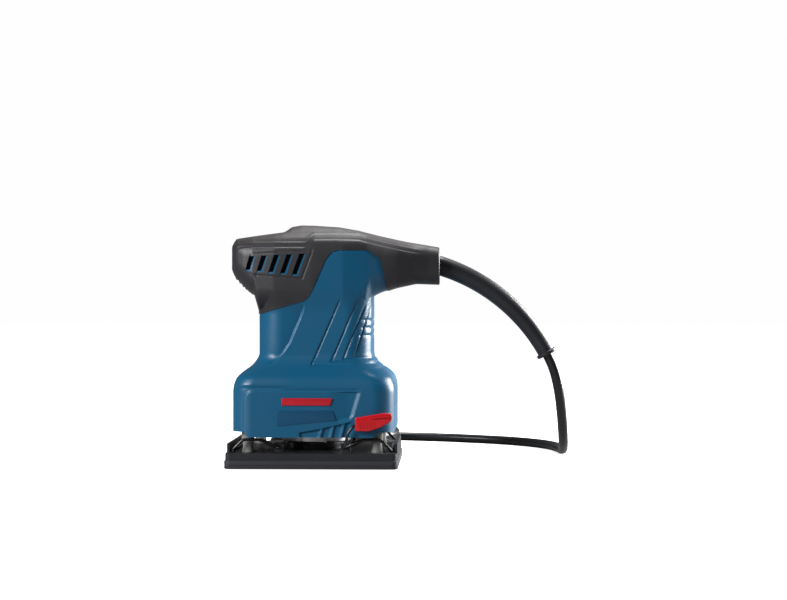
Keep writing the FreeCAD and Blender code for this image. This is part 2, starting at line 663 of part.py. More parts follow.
def counterweight():
    """The balance disc on the shaft's foot, hollowed on the pin's side, with the eccentric pin under it."""
    disc = round_bar("weight_disc", "weight_radius", "weight_low", "weight_high")
    hub = round_bar("weight_hub", "lower_radius + 2.5", "weight_high", "lower_seat - 0.4")
    pin = round_bar("weight_pin", "pin_radius", "pin_low", "weight_low + 0.5", x="orbit")
    bore = round_bar("weight_bore", "lower_radius", "shaft_low", "lower_seat + 1")
    hollow = block("weight_hollow", ("lower_radius + 5", "weight_radius - 3"), ("-9", "9"),
                   ("weight_low + 2", "weight_high + 1"))
    part(cut("counterweight", fuse("weight_form", disc, hub, pin), bore, hollow), "counterweight")


def capacitor():
    """The suppression capacitor behind the commutator."""
    part(block("capacitor", ("neck_half_x - wall - 16", "neck_half_x - wall - 4"), ("-8", "8"),
               ("stator_high + coil_over + 2", "stator_high + coil_over + 14")), "capacitor")


# ---------------------------------------------------------------- platen

def platen():
    """The platen plate with its boss, lips, clamp lugs and foot sockets, and the pad under it."""
    half_x = "pad_length / 2"
    half_y = "pad_width / 2"
    part(slab("sole_pad", half_x, half_y, "pad_corner", "0", "pad_thick"), "sole_pad")
    plate = slab("platen_slab", f"{half_x} - plate_inset", f"{half_y} - plate_inset", "pad_corner - plate_inset",
                 "pad_thick", "plate_top")
    adds = [round_bar("platen_boss", "boss_radius", "plate_top - 1", "boss_top", x="orbit")]
    tools = [
        round_bar("platen_pocket", "pin_ring", "pin_seat", "boss_top + 1", x="orbit"),
        round_bar("platen_groove", "pin_ring + circlip_lap + circlip_clear", "pin_seat + pin_width - 0.05",
                  "pin_seat + pin_width + circlip_thick + 0.05", x="orbit"),
    ]
    for sign in (1, -1):
        x = sorted((f"{sign} * ({half_x} - plate_inset - lip_thick)", f"{sign} * ({half_x} - plate_inset)"),
                   key=number)
        adds.append(block(f"lip_{sign + 1}", x, ("-lip_half", "lip_half"), ("plate_top - 1", "plate_top + lip_rise")))
        for side in (1, -1):
            name = f"{sign + 1}{side + 1}"
            adds.append(block(f"lug_{name}", (f"{sign} * pivot_x - 3", f"{sign} * pivot_x + 3"),
                              (f"{side} * lug_y - lug_half", f"{side} * lug_y + lug_half"),
                              ("plate_top - 1", "pivot_z + 2.6")))
            tools.append(round_bar(f"socket_{name}", "foot_radius + orbit_room", "socket_floor", "plate_top + 1",
                                   f"{sign} * foot_x", f"{side} * foot_y"))
        tools.append(cross_bar(f"pivot_bore_{sign + 1}", "rod_radius + rod_clear", "-pad_width", "pad_width",
                               f"{sign} * pivot_x", "pivot_z"))
    part(cut("platen_plate", fuse("platen_form", plate, *adds), *tools), "platen_plate")


def eccentric_bearing():
    """The bearing that the eccentric pin turns in, and its circlip."""
    part(ring("eccentric_bearing", "pin_radius + run_clear", "pin_ring", "pin_seat", "pin_seat + pin_width",
              x="orbit"), "eccentric_bearing")
    low = "pin_seat + pin_width"
    clip = ring("circlip_ring", "pin_ring - 2", "pin_ring + circlip_lap", low, f"{low} + circlip_thick", x="orbit")
    gap = block("circlip_gap", ("0", "pin_ring + 5"), ("-3", "3"), (f"{low} - 1", f"{low} + circlip_thick + 1"))
    part(cut("bearing_circlip", clip, gap), "bearing_circlip")


def half_turned(points, sign):
    """A route, or the same one turned half round about the upright axis."""
    return [(sign * x, sign * y, z) for x, y, z in points]


def clamp(end, sign):
    """One paper clamp: a lever on a cranked rod through the platen's lugs, and a bail welded to the rod."""
    pivot = (number("pivot_x"), number("pivot_z"))
    rod = number("rod_radius")
    lever_y = number("lever_y")
    arm_y = number("arm_y")
    lever_z = number("lever_z")
    rod_points = [
        (number("lever_near") + 9, -lever_y, lever_z - 2.5), (pivot[0] + 5, -lever_y, lever_z - 3),
        (pivot[0], -lever_y, pivot[1] + 9), (pivot[0], -lever_y, pivot[1]), (pivot[0], arm_y + 1.2, pivot[1]),
    ]
    part(tube(f"{end}_lever_rod", half_turned(rod_points, sign), rod, bend=2.6), f"{end}_lever_rod")
    bar = (number("bar_x"), number("plate_top + bar_gap + rod_radius"))
    knee = (number("arm_x"), number("arm_z"))
    heel = (pivot[0] + 12, knee[1])
    arm = [pivot, heel, knee, bar]
    bail_points = [(x, -arm_y, z) for x, z in arm] + [(x, arm_y, z) for x, z in reversed(arm)]
    part(tube(f"{end}_bail", half_turned(bail_points, sign), rod, bend=2.4), f"{end}_bail")

    lever_faces = [f"{-sign} * (lever_y + lever_thick / 2)", f"{-sign} * (lever_y - lever_thick / 2)"]
    low, high = sorted(lever_faces, key=number)
    outline = [("lever_near", "lever_z - 5.6"), ("lever_near + 9", "lever_z - 5.2"),
               ("lever_far - 4", "lever_z - 0.8"), ("lever_far", "lever_z + 2.4"),
               ("lever_far - 0.4", "lever_z + 5"), ("lever_far - 3", "lever_z + 6.4"),
               ("lever_near", "lever_z + 2.6")]
    solid = side_prism(f"{end}_lever_solid", [(f"{sign} * ({x})", z) for x, z in outline], low, high)
    document.recompute()
    channel = tube(f"{end}_lever_channel", half_turned(rod_points, sign), rod, bend=2.6)
    part(cut(f"{end}_lever", solid, channel), f"{end}_lever")

    spring_y = f"{-sign} * (lug_y - lug_half - 4)"
    wound = cross_bar(f"{end}_spring_wound", "rod_radius + 1.4", f"{spring_y} - 3", f"{spring_y} + 3",
                      f"{sign} * pivot_x", "pivot_z")
    eye = cross_bar(f"{end}_spring_eye", "rod_radius + 0.4", f"{spring_y} - 4", f"{spring_y} + 4",
                    f"{sign} * pivot_x", "pivot_z")
    foot_x = sorted((f"{sign} * (pivot_x + 1.5)", f"{sign} * (pivot_x + 2.4)"), key=number)
    leg = block(f"{end}_spring_leg", foot_x, (f"{spring_y} - 0.5", f"{spring_y} + 0.5"), ("plate_top", "pivot_z"))
    part(cut(f"{end}_clamp_spring", fuse(f"{end}_spring_form", wound, leg), eye), f"{end}_clamp_spring")


# ---------------------------------------------------------------- switch

def switch():
    """The switch body behind the front opening, and its ribbed rocker, resting in its off position."""
    back = "-1.1"
    long = "rocker_half + rocker_room - 0.2"
    part(rocker_prism("switch_body", [
        (f"-({long})", "-14"), (long, "-14"), (long, back), (f"-({long})", back),
    ], "rocker_width + 0.2"), "switch_body")
    cap = rocker_prism("rocker_cap", [
        ("-rocker_half", "0"), ("rocker_half", "0"), ("rocker_half", "rocker_depth + rocker_proud"),
        ("0", "rocker_depth + rocker_proud - 0.7"), ("-rocker_half", "rocker_depth + rocker_proud"),
    ], "rocker_width", "-rocker_tilt")
    pin = cross_bar("rocker_pivot", "rocker_pin", "-rocker_width - 0.3", "rocker_width + 0.3", "rocker_x", "rocker_z")
    part(fuse("rocker_and_pin", cap, pin), "switch_rocker")


# ---------------------------------------------------------------- cord

def strain_relief():
    """A tapered boot on an arc, with a flange at its end and a root inside the handle."""
    bend = number("relief_bend")
    first = math.radians(number("relief_from"))
    last = math.radians(number("relief_to"))
    start = Vector(number("handle_x"), 0, number("relief_z"))
    centre = start - Vector(-math.sin(first), 0, math.cos(first)) * bend
    count = 12
    stations = []
    for index in range(count + 1):
        angle = first + (last - first) * index / count
        radius = number("relief_start") + number("relief_end - relief_start") * index / count
        stations.append((angle, radius))
    flange = number("relief_flange")
    lip = 2.6 / bend
    stations[-1:] = [(last + lip, number("relief_end")), (last + lip, flange), (last, flange)]
    sections = []
    for angle, radius in stations:
        spot = centre + Vector(-math.sin(angle), 0, math.cos(angle)) * bend
        heading = Vector(math.cos(angle), 0, math.sin(angle))
        sections.append(Part.Wire([Part.Circle(spot, heading, radius).toShape()]))
    boot = Part.makeLoft(sections[:-2], True, True)
    collar = Part.makeLoft(sections[-2:], True, True)
    root = Part.makeCylinder(number("relief_start"), 8, start - Vector(8, 0, 0), Vector(1, 0, 0))
    neck = Part.makeCylinder(number("relief_root"), 14, start - Vector(20, 0, 0), Vector(1, 0, 0))
    item = document.addObject("Part::Feature", "strain_relief")
    item.Shape = boot.multiFuse([collar, root, neck]).removeSplitter()
    part(item, "strain_relief")
    end = centre + Vector(-math.sin(last), 0, math.cos(last)) * bend
    print("strain relief ends at", [round(value, 2) for value in end])


def cord_clamp():
    """The saddle that holds the strain relief's root in the handle, with its two screws."""
    x = ("clamp_x - 3.5", "clamp_x + 3.5")
    saddle = block("clamp_block", x, ("-saddle_half", "saddle_half"), ("relief_z", "relief_z + saddle_height"))
    room = document.addObject("Part::Cylinder", "clamp_room")
    room.Placement = Placement(Vector(), Rotation(Vector(0, 1, 0), 90))
    bind(room, {"Radius": "relief_root", "Height": "20"})
    place(room, "clamp_x - 10", "0", "relief_z")
    holes = [round_bar(f"clamp_hole_{index}", "screw_radius", "relief_z - 1", "relief_z + 9", "clamp_x", y)
             for index, y in enumerate(("-clamp_y", "clamp_y"))]
    part(cut("cord_clamp", saddle, room, *holes), "cord_clamp")
    screws = []
    for index, y in enumerate(("-clamp_y", "clamp_y")):
        screws.append(round_bar(f"clamp_shank_{index}", "screw_radius", "relief_z - 5", "relief_z + saddle_height",
                                "clamp_x", y))
        screws.append(round_bar(f"clamp_head_{index}", "head_radius", "relief_z + saddle_height",
                                "relief_z + saddle_height + head_height", "clamp_x", y))
    part(fuse("clamp_screws", *screws), "clamp_screws")


def cord():
    """The lead: its free stretch, its put-away coil, its tail, the tie and the plug."""
    radius = number("cord_radius")
    part(tube("cord", CORD_ROUTE, radius), "cord")
    part(tube("cord_tail", TAIL_ROUTE, radius), "cord_tail")
    low = "coil_lift"
    high = "coil_lift + coil_tall"
    inner = "coil_inner - cord_radius"
    outer = "coil_outer + cord_radius"
    coil = turned("cord_coil", [
        (f"{inner} + 2", low), (f"{outer} - 2", low), (outer, f"{low} + 2"), (outer, f"{high} - 5"),
        (f"{outer} - 3.5", high), (f"{inner} + 3.5", high), (inner, f"{high} - 5"), (inner, f"{low} + 2"),
    ])
    place(coil, "coil_x", "coil_y")
    part(coil, "cord_coil")
    x = (f"coil_x - ({outer}) - tie_clear", f"coil_x - ({inner}) + tie_clear")
    y = ("coil_y - tie_half", "coil_y + tie_half")
    band = block("tie_outer", (f"({x[0]}) - coil_lift", f"({x[1]}) + coil_lift"), y, ("0", f"{high} + coil_lift"))
    room = block("tie_inner", x, (f"({y[0]}) - 1", f"({y[1]}) + 1"), (low, high))
    part(cut("cord_tie", band, room), "cord_tie")


def plug():
    """A plain two-pin plug lying on the coil."""
    x, y, z = TAIL_ROUTE[-1]
    boot = document.addObject("Part::Cone", "plug_boot")
    boot.Placement = Placement(Vector(x, y, z), Rotation(Vector(0, 1, 0), -90))
    bind(boot, {"Radius1": "cord_radius + 1.2", "Radius2": "cord_radius + 2.6", "Height": "14"})
    grip = block("plug_grip", (f"{x} - plug_length", f"{x} - 13"), (f"{y} - plug_half_y", f"{y} + plug_half_y"),
                 (f"{z} - plug_half_z", f"{z} + plug_half_z"))
    part(fuse("plug_body", boot, grip), "plug_body")
    pins = []
    for index, sign in enumerate((-1, 1)):
        pin = document.addObject("Part::Cylinder", f"plug_pin_{index}")
        pin.Placement = Placement(Vector(), Rotation(Vector(0, 1, 0), -90))
        bind(pin, {"Radius": "plug_pin_radius", "Height": "plug_pin_length"})
        pins.append(place(pin, f"{x} - plug_length", f"{y} + {sign} * plug_pin_half", str(z)))
    part(fuse("plug_pins", *pins), "plug_pins")


# ---------------------------------------------------------------- build

def export():
    """Check every object and write each sub-part."""
    document.recompute()
    for item in document.Objects:
        for state in item.State:
            if state in ("Invalid", "Error"):
                raise RuntimeError(f"{item.Name} is {state}")
    os.makedirs("parts", exist_ok=True)
    for item in PARTS:
        if item.Shape.isNull() or not item.Shape.isValid() or not item.Shape.Solids:
            raise RuntimeError(f"{item.Label} has no sound solid")
    for item in PARTS:
        item.Shape.exportStep(f"parts/{item.Label}.step")
        print(item.Label, "solids", len(item.Shape.Solids), "volume", round(item.Shape.Volume, 1))


housing_halves()
housing_screws()
bearing_plate()
bearings()
feet()
badges()
stator()
field_coils()
brushes()
shaft()
armature()
commutator()
fan()
counterweight()
capacitor()
platen()
eccentric_bearing()
clamp("rear", 1)
clamp("front", -1)
switch()
strain_relief()
cord_clamp()
cord()
plug()
export()
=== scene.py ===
"""A palm-grip orbital sander: moulded shell, soft grip, wire paper clamps, platen and mains lead.

The pieces stand round the engineering frame. +Z is up, +X is the cord end and -Y the near side.
Sizes in the classes are millimetres, and they become metres when a mesh is made.
"""
import logging
import math
from dataclasses import dataclass, field
from enum import Enum

import bpy
import numpy as np
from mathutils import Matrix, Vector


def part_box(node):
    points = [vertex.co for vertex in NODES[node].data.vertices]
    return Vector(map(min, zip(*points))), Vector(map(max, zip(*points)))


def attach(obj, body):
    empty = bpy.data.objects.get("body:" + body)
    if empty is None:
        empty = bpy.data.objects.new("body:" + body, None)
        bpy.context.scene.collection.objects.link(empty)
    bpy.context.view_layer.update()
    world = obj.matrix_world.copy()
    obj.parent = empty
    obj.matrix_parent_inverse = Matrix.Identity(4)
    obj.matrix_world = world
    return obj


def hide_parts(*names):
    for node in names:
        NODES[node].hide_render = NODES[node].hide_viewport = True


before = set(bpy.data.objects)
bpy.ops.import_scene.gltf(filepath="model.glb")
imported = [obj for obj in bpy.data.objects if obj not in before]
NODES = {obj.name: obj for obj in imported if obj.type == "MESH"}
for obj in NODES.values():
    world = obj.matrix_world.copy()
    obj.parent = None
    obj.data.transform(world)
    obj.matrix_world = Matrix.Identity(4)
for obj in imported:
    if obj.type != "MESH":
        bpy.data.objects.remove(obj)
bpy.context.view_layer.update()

LOG = logging.getLogger("sander")
MM = 0.001
LEFT, RIGHT = -1, 1

Points = list[tuple[float, ...]]


# ---------------------------------------------------------------- finishes

def linear_colour(code: str) -> tuple[float, float, float, float]:
    """Turn an sRGB hex colour into linear values.

    Args:
        code: A colour such as "#336699".

    Returns:
        Linear red, green and blue, and an alpha of one.
    """
    levels = np.array([int(code[start:start + 2], 16) for start in (1, 3, 5)]) / 255
    linear = np.where(levels <= 0.04045, levels / 12.92, ((levels + 0.055) / 1.055) ** 2.4)
    return (float(linear[0]), float(linear[1]), float(linear[2]), 1.0)


def add_node(tree: bpy.types.NodeTree, kind: str, settings: dict | None = None,
             links: dict | None = None) -> bpy.types.Node:
    """Add a shader node with its settings and its incoming links.

    Args:
        tree: The node tree.
        kind: The node's type name.
        settings: Values by input name or number, or by property name.
        links: Output sockets by the input that they feed.

    Returns:
        The new node.
    """
    node = tree.nodes.new(kind)
    for key, value in (settings or {}).items():
        if isinstance(key, int) or key in node.inputs:
            node.inputs[key].default_value = value
        else:
            setattr(node, key, value)
    for key, socket in (links or {}).items():
        tree.links.new(socket, node.inputs[key])
    return node


class Grain(Enum):
    """How a surface was made, which gives the eye its fine pattern."""

    SPARK = "moulded against a spark-eroded tool"
    SAND = "cast in a blasted die"
    DRAWN = "drawn through a die"
    TURNED = "turned on a lathe"
    WOVEN = "woven"
    STACKED = "stacked from stamped sheets"


@dataclass(frozen=True)
class Finish:
    """One real material with the way that its surface was made."""

    name: str
    colour: str
    shade: str
    rough: float
    grain: Grain = Grain.SPARK
    grain_mm: float = 0.5
    depth_mm: float = 0.02
    rough_spread: float = 0.06
    metal: float = 0.0
    ior: float = 1.5
    coat: float = 0.0
    sheen: float = 0.0
    # A lighter colour painted on convex edges: a painted edge highlight.
    painted_edge_highlight: str = ""

    def height(self, tree: bpy.types.NodeTree, place: bpy.types.NodeSocket) -> bpy.types.NodeSocket:
        """Build the height pattern of the surface.

        Args:
            tree: The material's node tree.
            place: Object coordinates in metres.

        Returns:
            A socket with heights from nought to one.
        """
        period = self.grain_mm * MM
        if self.grain is Grain.DRAWN:
            stretched = add_node(tree, "ShaderNodeMapping", {"Scale": (0.06, 1.0, 1.0)}, {"Vector": place})
            return add_node(tree, "ShaderNodeTexNoise", {"Scale": 1 / period, "Detail": 3.0},
                            {"Vector": stretched.outputs[0]}).outputs[0]
        # A wave of scale s repeats every 2 pi / (20 s).
        wave = 2 * math.pi / (20 * period)
        if self.grain is Grain.TURNED:
            return add_node(tree, "ShaderNodeTexWave", {"wave_type": "RINGS", "rings_direction": "Z",
                            "Scale": wave, "Distortion": 0.6}, {"Vector": place}).outputs[1]
        if self.grain is Grain.STACKED:
            return add_node(tree, "ShaderNodeTexWave", {"bands_direction": "Z", "Scale": wave},
                            {"Vector": place}).outputs[1]
        if self.grain is Grain.WOVEN:
            warp, weft = (add_node(tree, "ShaderNodeTexWave", {"bands_direction": way, "Scale": wave},
                                   {"Vector": place}).outputs[1] for way in ("Y", "X"))
            return add_node(tree, "ShaderNodeMath", {"operation": "MAXIMUM"}, {0: warp, 1: weft}).outputs[0]
        detail = 2.0 if self.grain is Grain.SPARK else 5.0
        return add_node(tree, "ShaderNodeTexNoise", {"Scale": 1 / period, "Detail": detail},
                        {"Vector": place}).outputs[0]

    def material(self) -> bpy.types.Material:
        """Build the material once and hand it out again after that.

        Returns:
            The material.
        """
        known = bpy.data.materials.get(self.name)
        if known:
            return known
        made = bpy.data.materials.new(self.name)
        made.use_nodes = True
        tree = made.node_tree
        tree.nodes.clear()
        place = add_node(tree, "ShaderNodeTexCoord").outputs["Object"]
        height = self.height(tree, place)
        # Slow drifts of shade and gloss, a few centimetres across, as handling and moulding leave.
        drift = add_node(tree, "ShaderNodeTexNoise", {"Scale": 45.0, "Detail": 3.0},
                         {"Vector": place}).outputs[0]
        colour = add_node(tree, "ShaderNodeMix", {"data_type": "RGBA", 6: linear_colour(self.colour),
                          7: linear_colour(self.shade)}, {0: drift}).outputs[2]
        # Convex edges, found by pointiness, are painted lighter: a painted edge highlight.
        if self.painted_edge_highlight:
            form = add_node(tree, "ShaderNodeNewGeometry").outputs["Pointiness"]
            edge = add_node(tree, "ShaderNodeMapRange", {"From Min": 0.52, "From Max": 0.62, "To Max": 0.55},
                            {"Value": form}).outputs[0]
            colour = add_node(tree, "ShaderNodeMix", {"data_type": "RGBA", 7: linear_colour(self.painted_edge_highlight)},
                              {0: edge, 6: colour}).outputs[2]
        rough = add_node(tree, "ShaderNodeMapRange", {
            "From Min": 0.3, "From Max": 0.7, "To Min": max(self.rough - self.rough_spread, 0.02),
            "To Max": self.rough + self.rough_spread}, {"Value": drift}).outputs[0]
        bump = add_node(tree, "ShaderNodeBump", {"Strength": 0.6, "Distance": self.depth_mm * MM},
                        {"Height": height}).outputs[0]
        settings = {"Metallic": self.metal, "Coat Weight": self.coat, "Coat Roughness": 0.15,
                    "Sheen Weight": self.sheen, "Sheen Roughness": 0.4}
        if not self.metal:
            settings["IOR"] = self.ior
        shader = add_node(tree, "ShaderNodeBsdfPrincipled", settings,
                          {"Base Color": colour, "Roughness": rough, "Normal": bump})
        add_node(tree, "ShaderNodeOutputMaterial", None, {"Surface": shader.outputs[0]})
        return made

    def dress(self, piece: bpy.types.Object) -> None:
        """Give a piece this finish alone."""
        piece.data.materials.clear()
        piece.data.materials.append(self.material())


# Glass-filled nylon, moulded against a fine spark-eroded tool: satin, with broad soft highlights.
BLUE_NYLON = Finish("blue_glass_filled_nylon", "#045a80", "#055377", 0.38, grain_mm=0.55, depth_mm=0.012,
                    painted_edge_highlight="#2f83ab")
# Thermoplastic elastomer moulded over the shell: dull, slightly cool, with a faint dusty sheen.
BLACK_ELASTOMER = Finish("black_thermoplastic_elastomer", "#26252a", "#2c2b30", 0.46, grain_mm=0.7,
                         depth_mm=0.02, sheen=0.03, painted_edge_highlight="#4a484e")
# The cap is the same elastomer, a little duller, its colour tinted warm by a painted reflection of a hand.
CAP_ELASTOMER = Finish("cap_elastomer_painted_hand_reflection", "#2b2728", "#332e2f", 0.48, grain_mm=0.7, depth_mm=0.025,
                       sheen=0.04, painted_edge_highlight="#565051")
# Acetal, moulded smooth: glossy and saturated.
RED_ACETAL = Finish("red_acetal", "#d3101c", "#c20d19", 0.24, grain_mm=1.2, depth_mm=0.006, coat=0.3)
# The badge bar is the same red in a printed lacquer.
RED_LACQUER = Finish("red_badge_lacquer", "#c01226", "#b50f22", 0.3, grain_mm=1.0, depth_mm=0.004, coat=0.2)
# Polycarbonate label plate, a shade darker than the shell.
BADGE_PLATE = Finish("badge_polycarbonate", "#07496f", "#064568", 0.3, grain_mm=0.8, depth_mm=0.005)
# Die-cast aluminium under black powder coat: soft gloss with a slight orange peel.
BLACK_POWDER = Finish("black_powder_coat", "#15161a", "#1b1c21", 0.38, Grain.SAND, 0.9, 0.03, painted_edge_highlight="#4a4c52")
# Nitrile foam rubber of the pad: dense and dull.
PAD_RUBBER = Finish("nitrile_pad_rubber", "#303138", "#28292f", 0.55, Grain.SAND, 0.7, 0.05, sheen=0.1)
# Blackened music wire: drawn, then oiled, with bright streaks.
BLACK_WIRE = Finish("blackened_spring_wire", "#17181a", "#232426", 0.26, Grain.DRAWN, 0.4, 0.01, metal=0.55,
                    coat=0.5)
# Bright music wire of the torsion springs.
BRIGHT_WIRE = Finish("bright_spring_wire", "#b9bcc0", "#a6a9ad", 0.24, Grain.DRAWN, 0.3, 0.008, metal=1.0)
# Mild steel turned on a lathe: fine rings under a hard shine.
TURNED_STEEL = Finish("turned_steel", "#dcdfe3", "#cdd0d5", 0.3, Grain.TURNED, 0.6, 0.006, metal=1.0)
# Zinc-plated screws.
ZINC = Finish("zinc_plated_steel", "#b7b9ba", "#9fa19f", 0.32, Grain.DRAWN, 0.4, 0.01, metal=1.0)
# Raw die-cast aluminium of the bearing plate.
CAST_ALUMINIUM = Finish("die_cast_aluminium", "#9a9ca0", "#86888c", 0.42, Grain.SAND, 0.8, 0.05, metal=1.0)
# Ground bearing steel.
BEARING_STEEL = Finish("ground_bearing_steel", "#cbccd0", "#bfc0c4", 0.16, Grain.TURNED, 0.4, 0.003,
                       metal=1.0)
# Natural grey isolator rubber.
GREY_RUBBER = Finish("grey_isolator_rubber", "#8d8f8c", "#7f817e", 0.55, Grain.SAND, 0.6, 0.03)
# Silicon-steel laminations, half a millimetre each.
LAMINATION = Finish("lamination_steel", "#5c5d60", "#505154", 0.42, Grain.STACKED, 0.5, 0.06, metal=1.0)
# Enamelled copper wire, wound side by side.
WINDING = Finish("enamelled_copper", "#a4582c", "#8b4722", 0.3, Grain.STACKED, 0.6, 0.12, metal=0.9, coat=0.6)
# Pressed brass of the brush holders and commutator bars.
BRASS = Finish("pressed_brass", "#c9a45a", "#b48f48", 0.28, Grain.DRAWN, 0.4, 0.01, metal=1.0)
# Pressed carbon.
CARBON = Finish("pressed_carbon", "#1c1c1e", "#252527", 0.6, Grain.SAND, 0.5, 0.03)
# Dipped film capacitor.
CAPACITOR = Finish("dipped_film_capacitor", "#b9a646", "#ab9839", 0.35, Grain.SAND, 1.2, 0.04, coat=0.3)
# Black glass-filled polyamide of inner parts.
INNER_NYLON = Finish("black_glass_filled_nylon", "#202124", "#2a2b2e", 0.45, grain_mm=0.6, depth_mm=0.02)
# The fan is the same polyamide with visible glass flow.
FAN_NYLON = Finish("fan_nylon", "#1b1c1e", "#28292b", 0.42, Grain.SAND, 1.0, 0.02)
# Soft vinyl sheath of the lead, extruded: glossy lines along it.
CORD_SHEATH = Finish("soft_vinyl_sheath", "#121316", "#191a1e", 0.3, Grain.SPARK, 1.6, 0.012, coat=0.25)
# The boot is the same vinyl, moulded: smoother shine.
BOOT_VINYL = Finish("moulded_vinyl_boot", "#1b1c21", "#222328", 0.4, grain_mm=0.8, depth_mm=0.014, sheen=0.08)
# Moulded vinyl of the plug.
PLUG_VINYL = Finish("moulded_vinyl_plug", "#191a1d", "#212226", 0.42, grain_mm=0.7, depth_mm=0.02)
# Nickel-plated brass pins.
PIN_METAL = Finish("nickel_plated_brass", "#cfcabb", "#c2bcaa", 0.2, Grain.DRAWN, 0.4, 0.004, metal=1.0)
# Woven hook-and-loop tape, thread spacing 0.7 mm.
STRAP_WEAVE = Finish("woven_strap", "#1d1d20", "#28282c", 0.8, Grain.WOVEN, 0.7, 0.15, sheen=0.5)
# Moulded nylon of the switch rocker.
ROCKER_NYLON = Finish("rocker_nylon", "#1c1c1f", "#242428", 0.4, grain_mm=0.6, depth_mm=0.015, painted_edge_highlight="#4b4b50")


# ---------------------------------------------------------------- surfaces

def ease(start: float, end: float, value: np.ndarray) -> np.ndarray:
    """Rise smoothly from nought at start to one at end: 3t^2 - 2t^3 of the clipped fraction t."""
    part = np.clip((value - start) / (end - start), 0.0, 1.0)
    return part * part * (3.0 - 2.0 * part)


def follow(knots: Points, at: np.ndarray, blur: int = 0) -> np.ndarray:
    """Read a profile given by knots, and round its corners.

    Args:
        knots: (place, value) pairs in rising order of place.
        at: Evenly spaced places to read.
        blur: Half the number of neighbours in the running mean, or nought.

    Returns:
        The values at those places.
    """
    where, values = np.array(knots).T
    read = np.interp(at, where, values)
    if blur:
        kernel = np.hanning(2 * blur + 3)[1:-1]
        read = np.convolve(np.pad(read, blur, mode="edge"), kernel / kernel.sum(), mode="valid")
    return read


def rounded_rings(half_u: np.ndarray, half_v: np.ndarray, corner: np.ndarray, arc: int, long_u: int,
                  long_v: int, top: np.ndarray | None = None) -> tuple[np.ndarray, np.ndarray]:
    """Rounded rectangles, one a station, each four quarter circles joined by straight sides.

    Args:
        half_u: Half width at each station.
        half_v: Half height at each station.
        corner: Corner radius at each station.
        arc: Steps round each corner.
        long_u: Points between corners along u.
        long_v: Points between corners along v.
        top: Angles above level of the points round the two upper corners, or None for even steps.

    Returns:
        The points and their outward normals, both (stations, around, 2).
    """
    half_u, half_v, corner = (np.asarray(size, float)[:, None] for size in (half_u, half_v, corner))
    signs = ((1, 1), (-1, 1), (-1, -1), (1, -1))
    turns = [np.linspace(quarter, quarter + 1, arc + 1)[None] * math.pi / 2 for quarter in range(4)]
    if top is not None:
        turns[:2] = top, math.pi - top[:, ::-1]
    arcs = [np.stack([su * (half_u - corner) + corner * np.cos(turn),
                      sv * (half_v - corner) + corner * np.sin(turn)], -1)
            for (su, sv), turn in zip(signs, turns)]
    points, normals = [], []
    for quarter in range(4):
        steps = long_u if quarter % 2 == 0 else long_v
        along = np.linspace(0, 1, steps + 2)[1:-1][None, :, None]
        first, last = arcs[quarter][:, -1:], arcs[(quarter + 1) % 4][:, :1]
        points += [arcs[quarter], first + (last - first) * along]
        round_normal = np.stack([np.cos(turns[quarter]), np.sin(turns[quarter])], -1)
        normals += [np.broadcast_to(round_normal, arcs[quarter].shape),
                    np.broadcast_to(round_normal[:, -1:], points[-1].shape)]
    return np.concatenate(points, 1), np.concatenate(normals, 1)


def mesh_piece(name: str, points: np.ndarray, faces: list) -> bpy.types.Object:
    """Put a mesh in the scene, shaded smooth, with edges past 34 degrees marked sharp.

    Args:
        name: The object's name.
        points: Corners in millimetres.
        faces: Lists of corner numbers.

    Returns:
        The new object, at the origin.
    """
    mesh = bpy.data.meshes.new(name)
    mesh.from_pydata((points * MM).tolist(), [], faces)
    mesh.update()
    mesh.shade_smooth()
    mesh.set_sharp_from_angle(angle=math.radians(34))
    piece = bpy.data.objects.new(name, mesh)
    bpy.context.scene.collection.objects.link(piece)
    return piece


def loft(name: str, rings: np.ndarray) -> bpy.types.Object:
    """A closed skin through a stack of closed rings: quads between rings, and a flat face on each end.

    Args:
        name: The object's name.
        rings: Corners as (stations, around, 3), in millimetres.

    Returns:
        The new object.
    """
    stations, around = rings.shape[:2]
    index = np.arange(stations * around).reshape(stations, around)
    beside = np.roll(index, -1, axis=1)
    quads = np.stack([index[:-1], beside[:-1], beside[1:], index[1:]], -1).reshape(-1, 4)
    points = rings.reshape(-1, 3)
    corners = points[quads] - points.mean(0)
    area = np.cross(corners[:, 2] - corners[:, 0], corners[:, 3] - corners[:, 1])
    faces = quads.tolist() + [index[0, ::-1].tolist(), index[-1].tolist()]
    if (corners.mean(1) * area).sum() < 0:
        faces = [face[::-1] for face in faces]
    return mesh_piece(name, points, faces)


def edge_arc(edge: float, steps: int = 5) -> tuple[np.ndarray, np.ndarray]:
    """A quarter round edge as distances in from the end and in from the side."""
    turn = np.linspace(0, math.pi / 2, steps)
    return edge * (1 - np.cos(turn)), edge * (1 - np.sin(turn))


def wire_path(corners: Points, bend: float, steps: int = 7) -> np.ndarray:
    """A bent wire's centre line: straight runs with a quadratic curve at each corner.

    Args:
        corners: The corners of the wire.
        bend: Length of each run that its curve takes up.
        steps: Points on each curve.

    Returns:
        Points along the wire.
    """
    spots = np.array(corners, float)
    runs = np.diff(spots, axis=0)
    runs /= np.linalg.norm(runs, axis=1, keepdims=True)
    middle = spots[1:-1]
    first, last = middle - runs[:-1] * bend, middle + runs[1:] * bend
    part = np.linspace(0, 1, steps)[None, :, None]
    curve = ((1 - part) ** 2 * first[:, None] + 2 * part * (1 - part) * middle[:, None]
             + part ** 2 * last[:, None])
    return np.concatenate([spots[:1], curve.reshape(-1, 3), spots[-1:]])


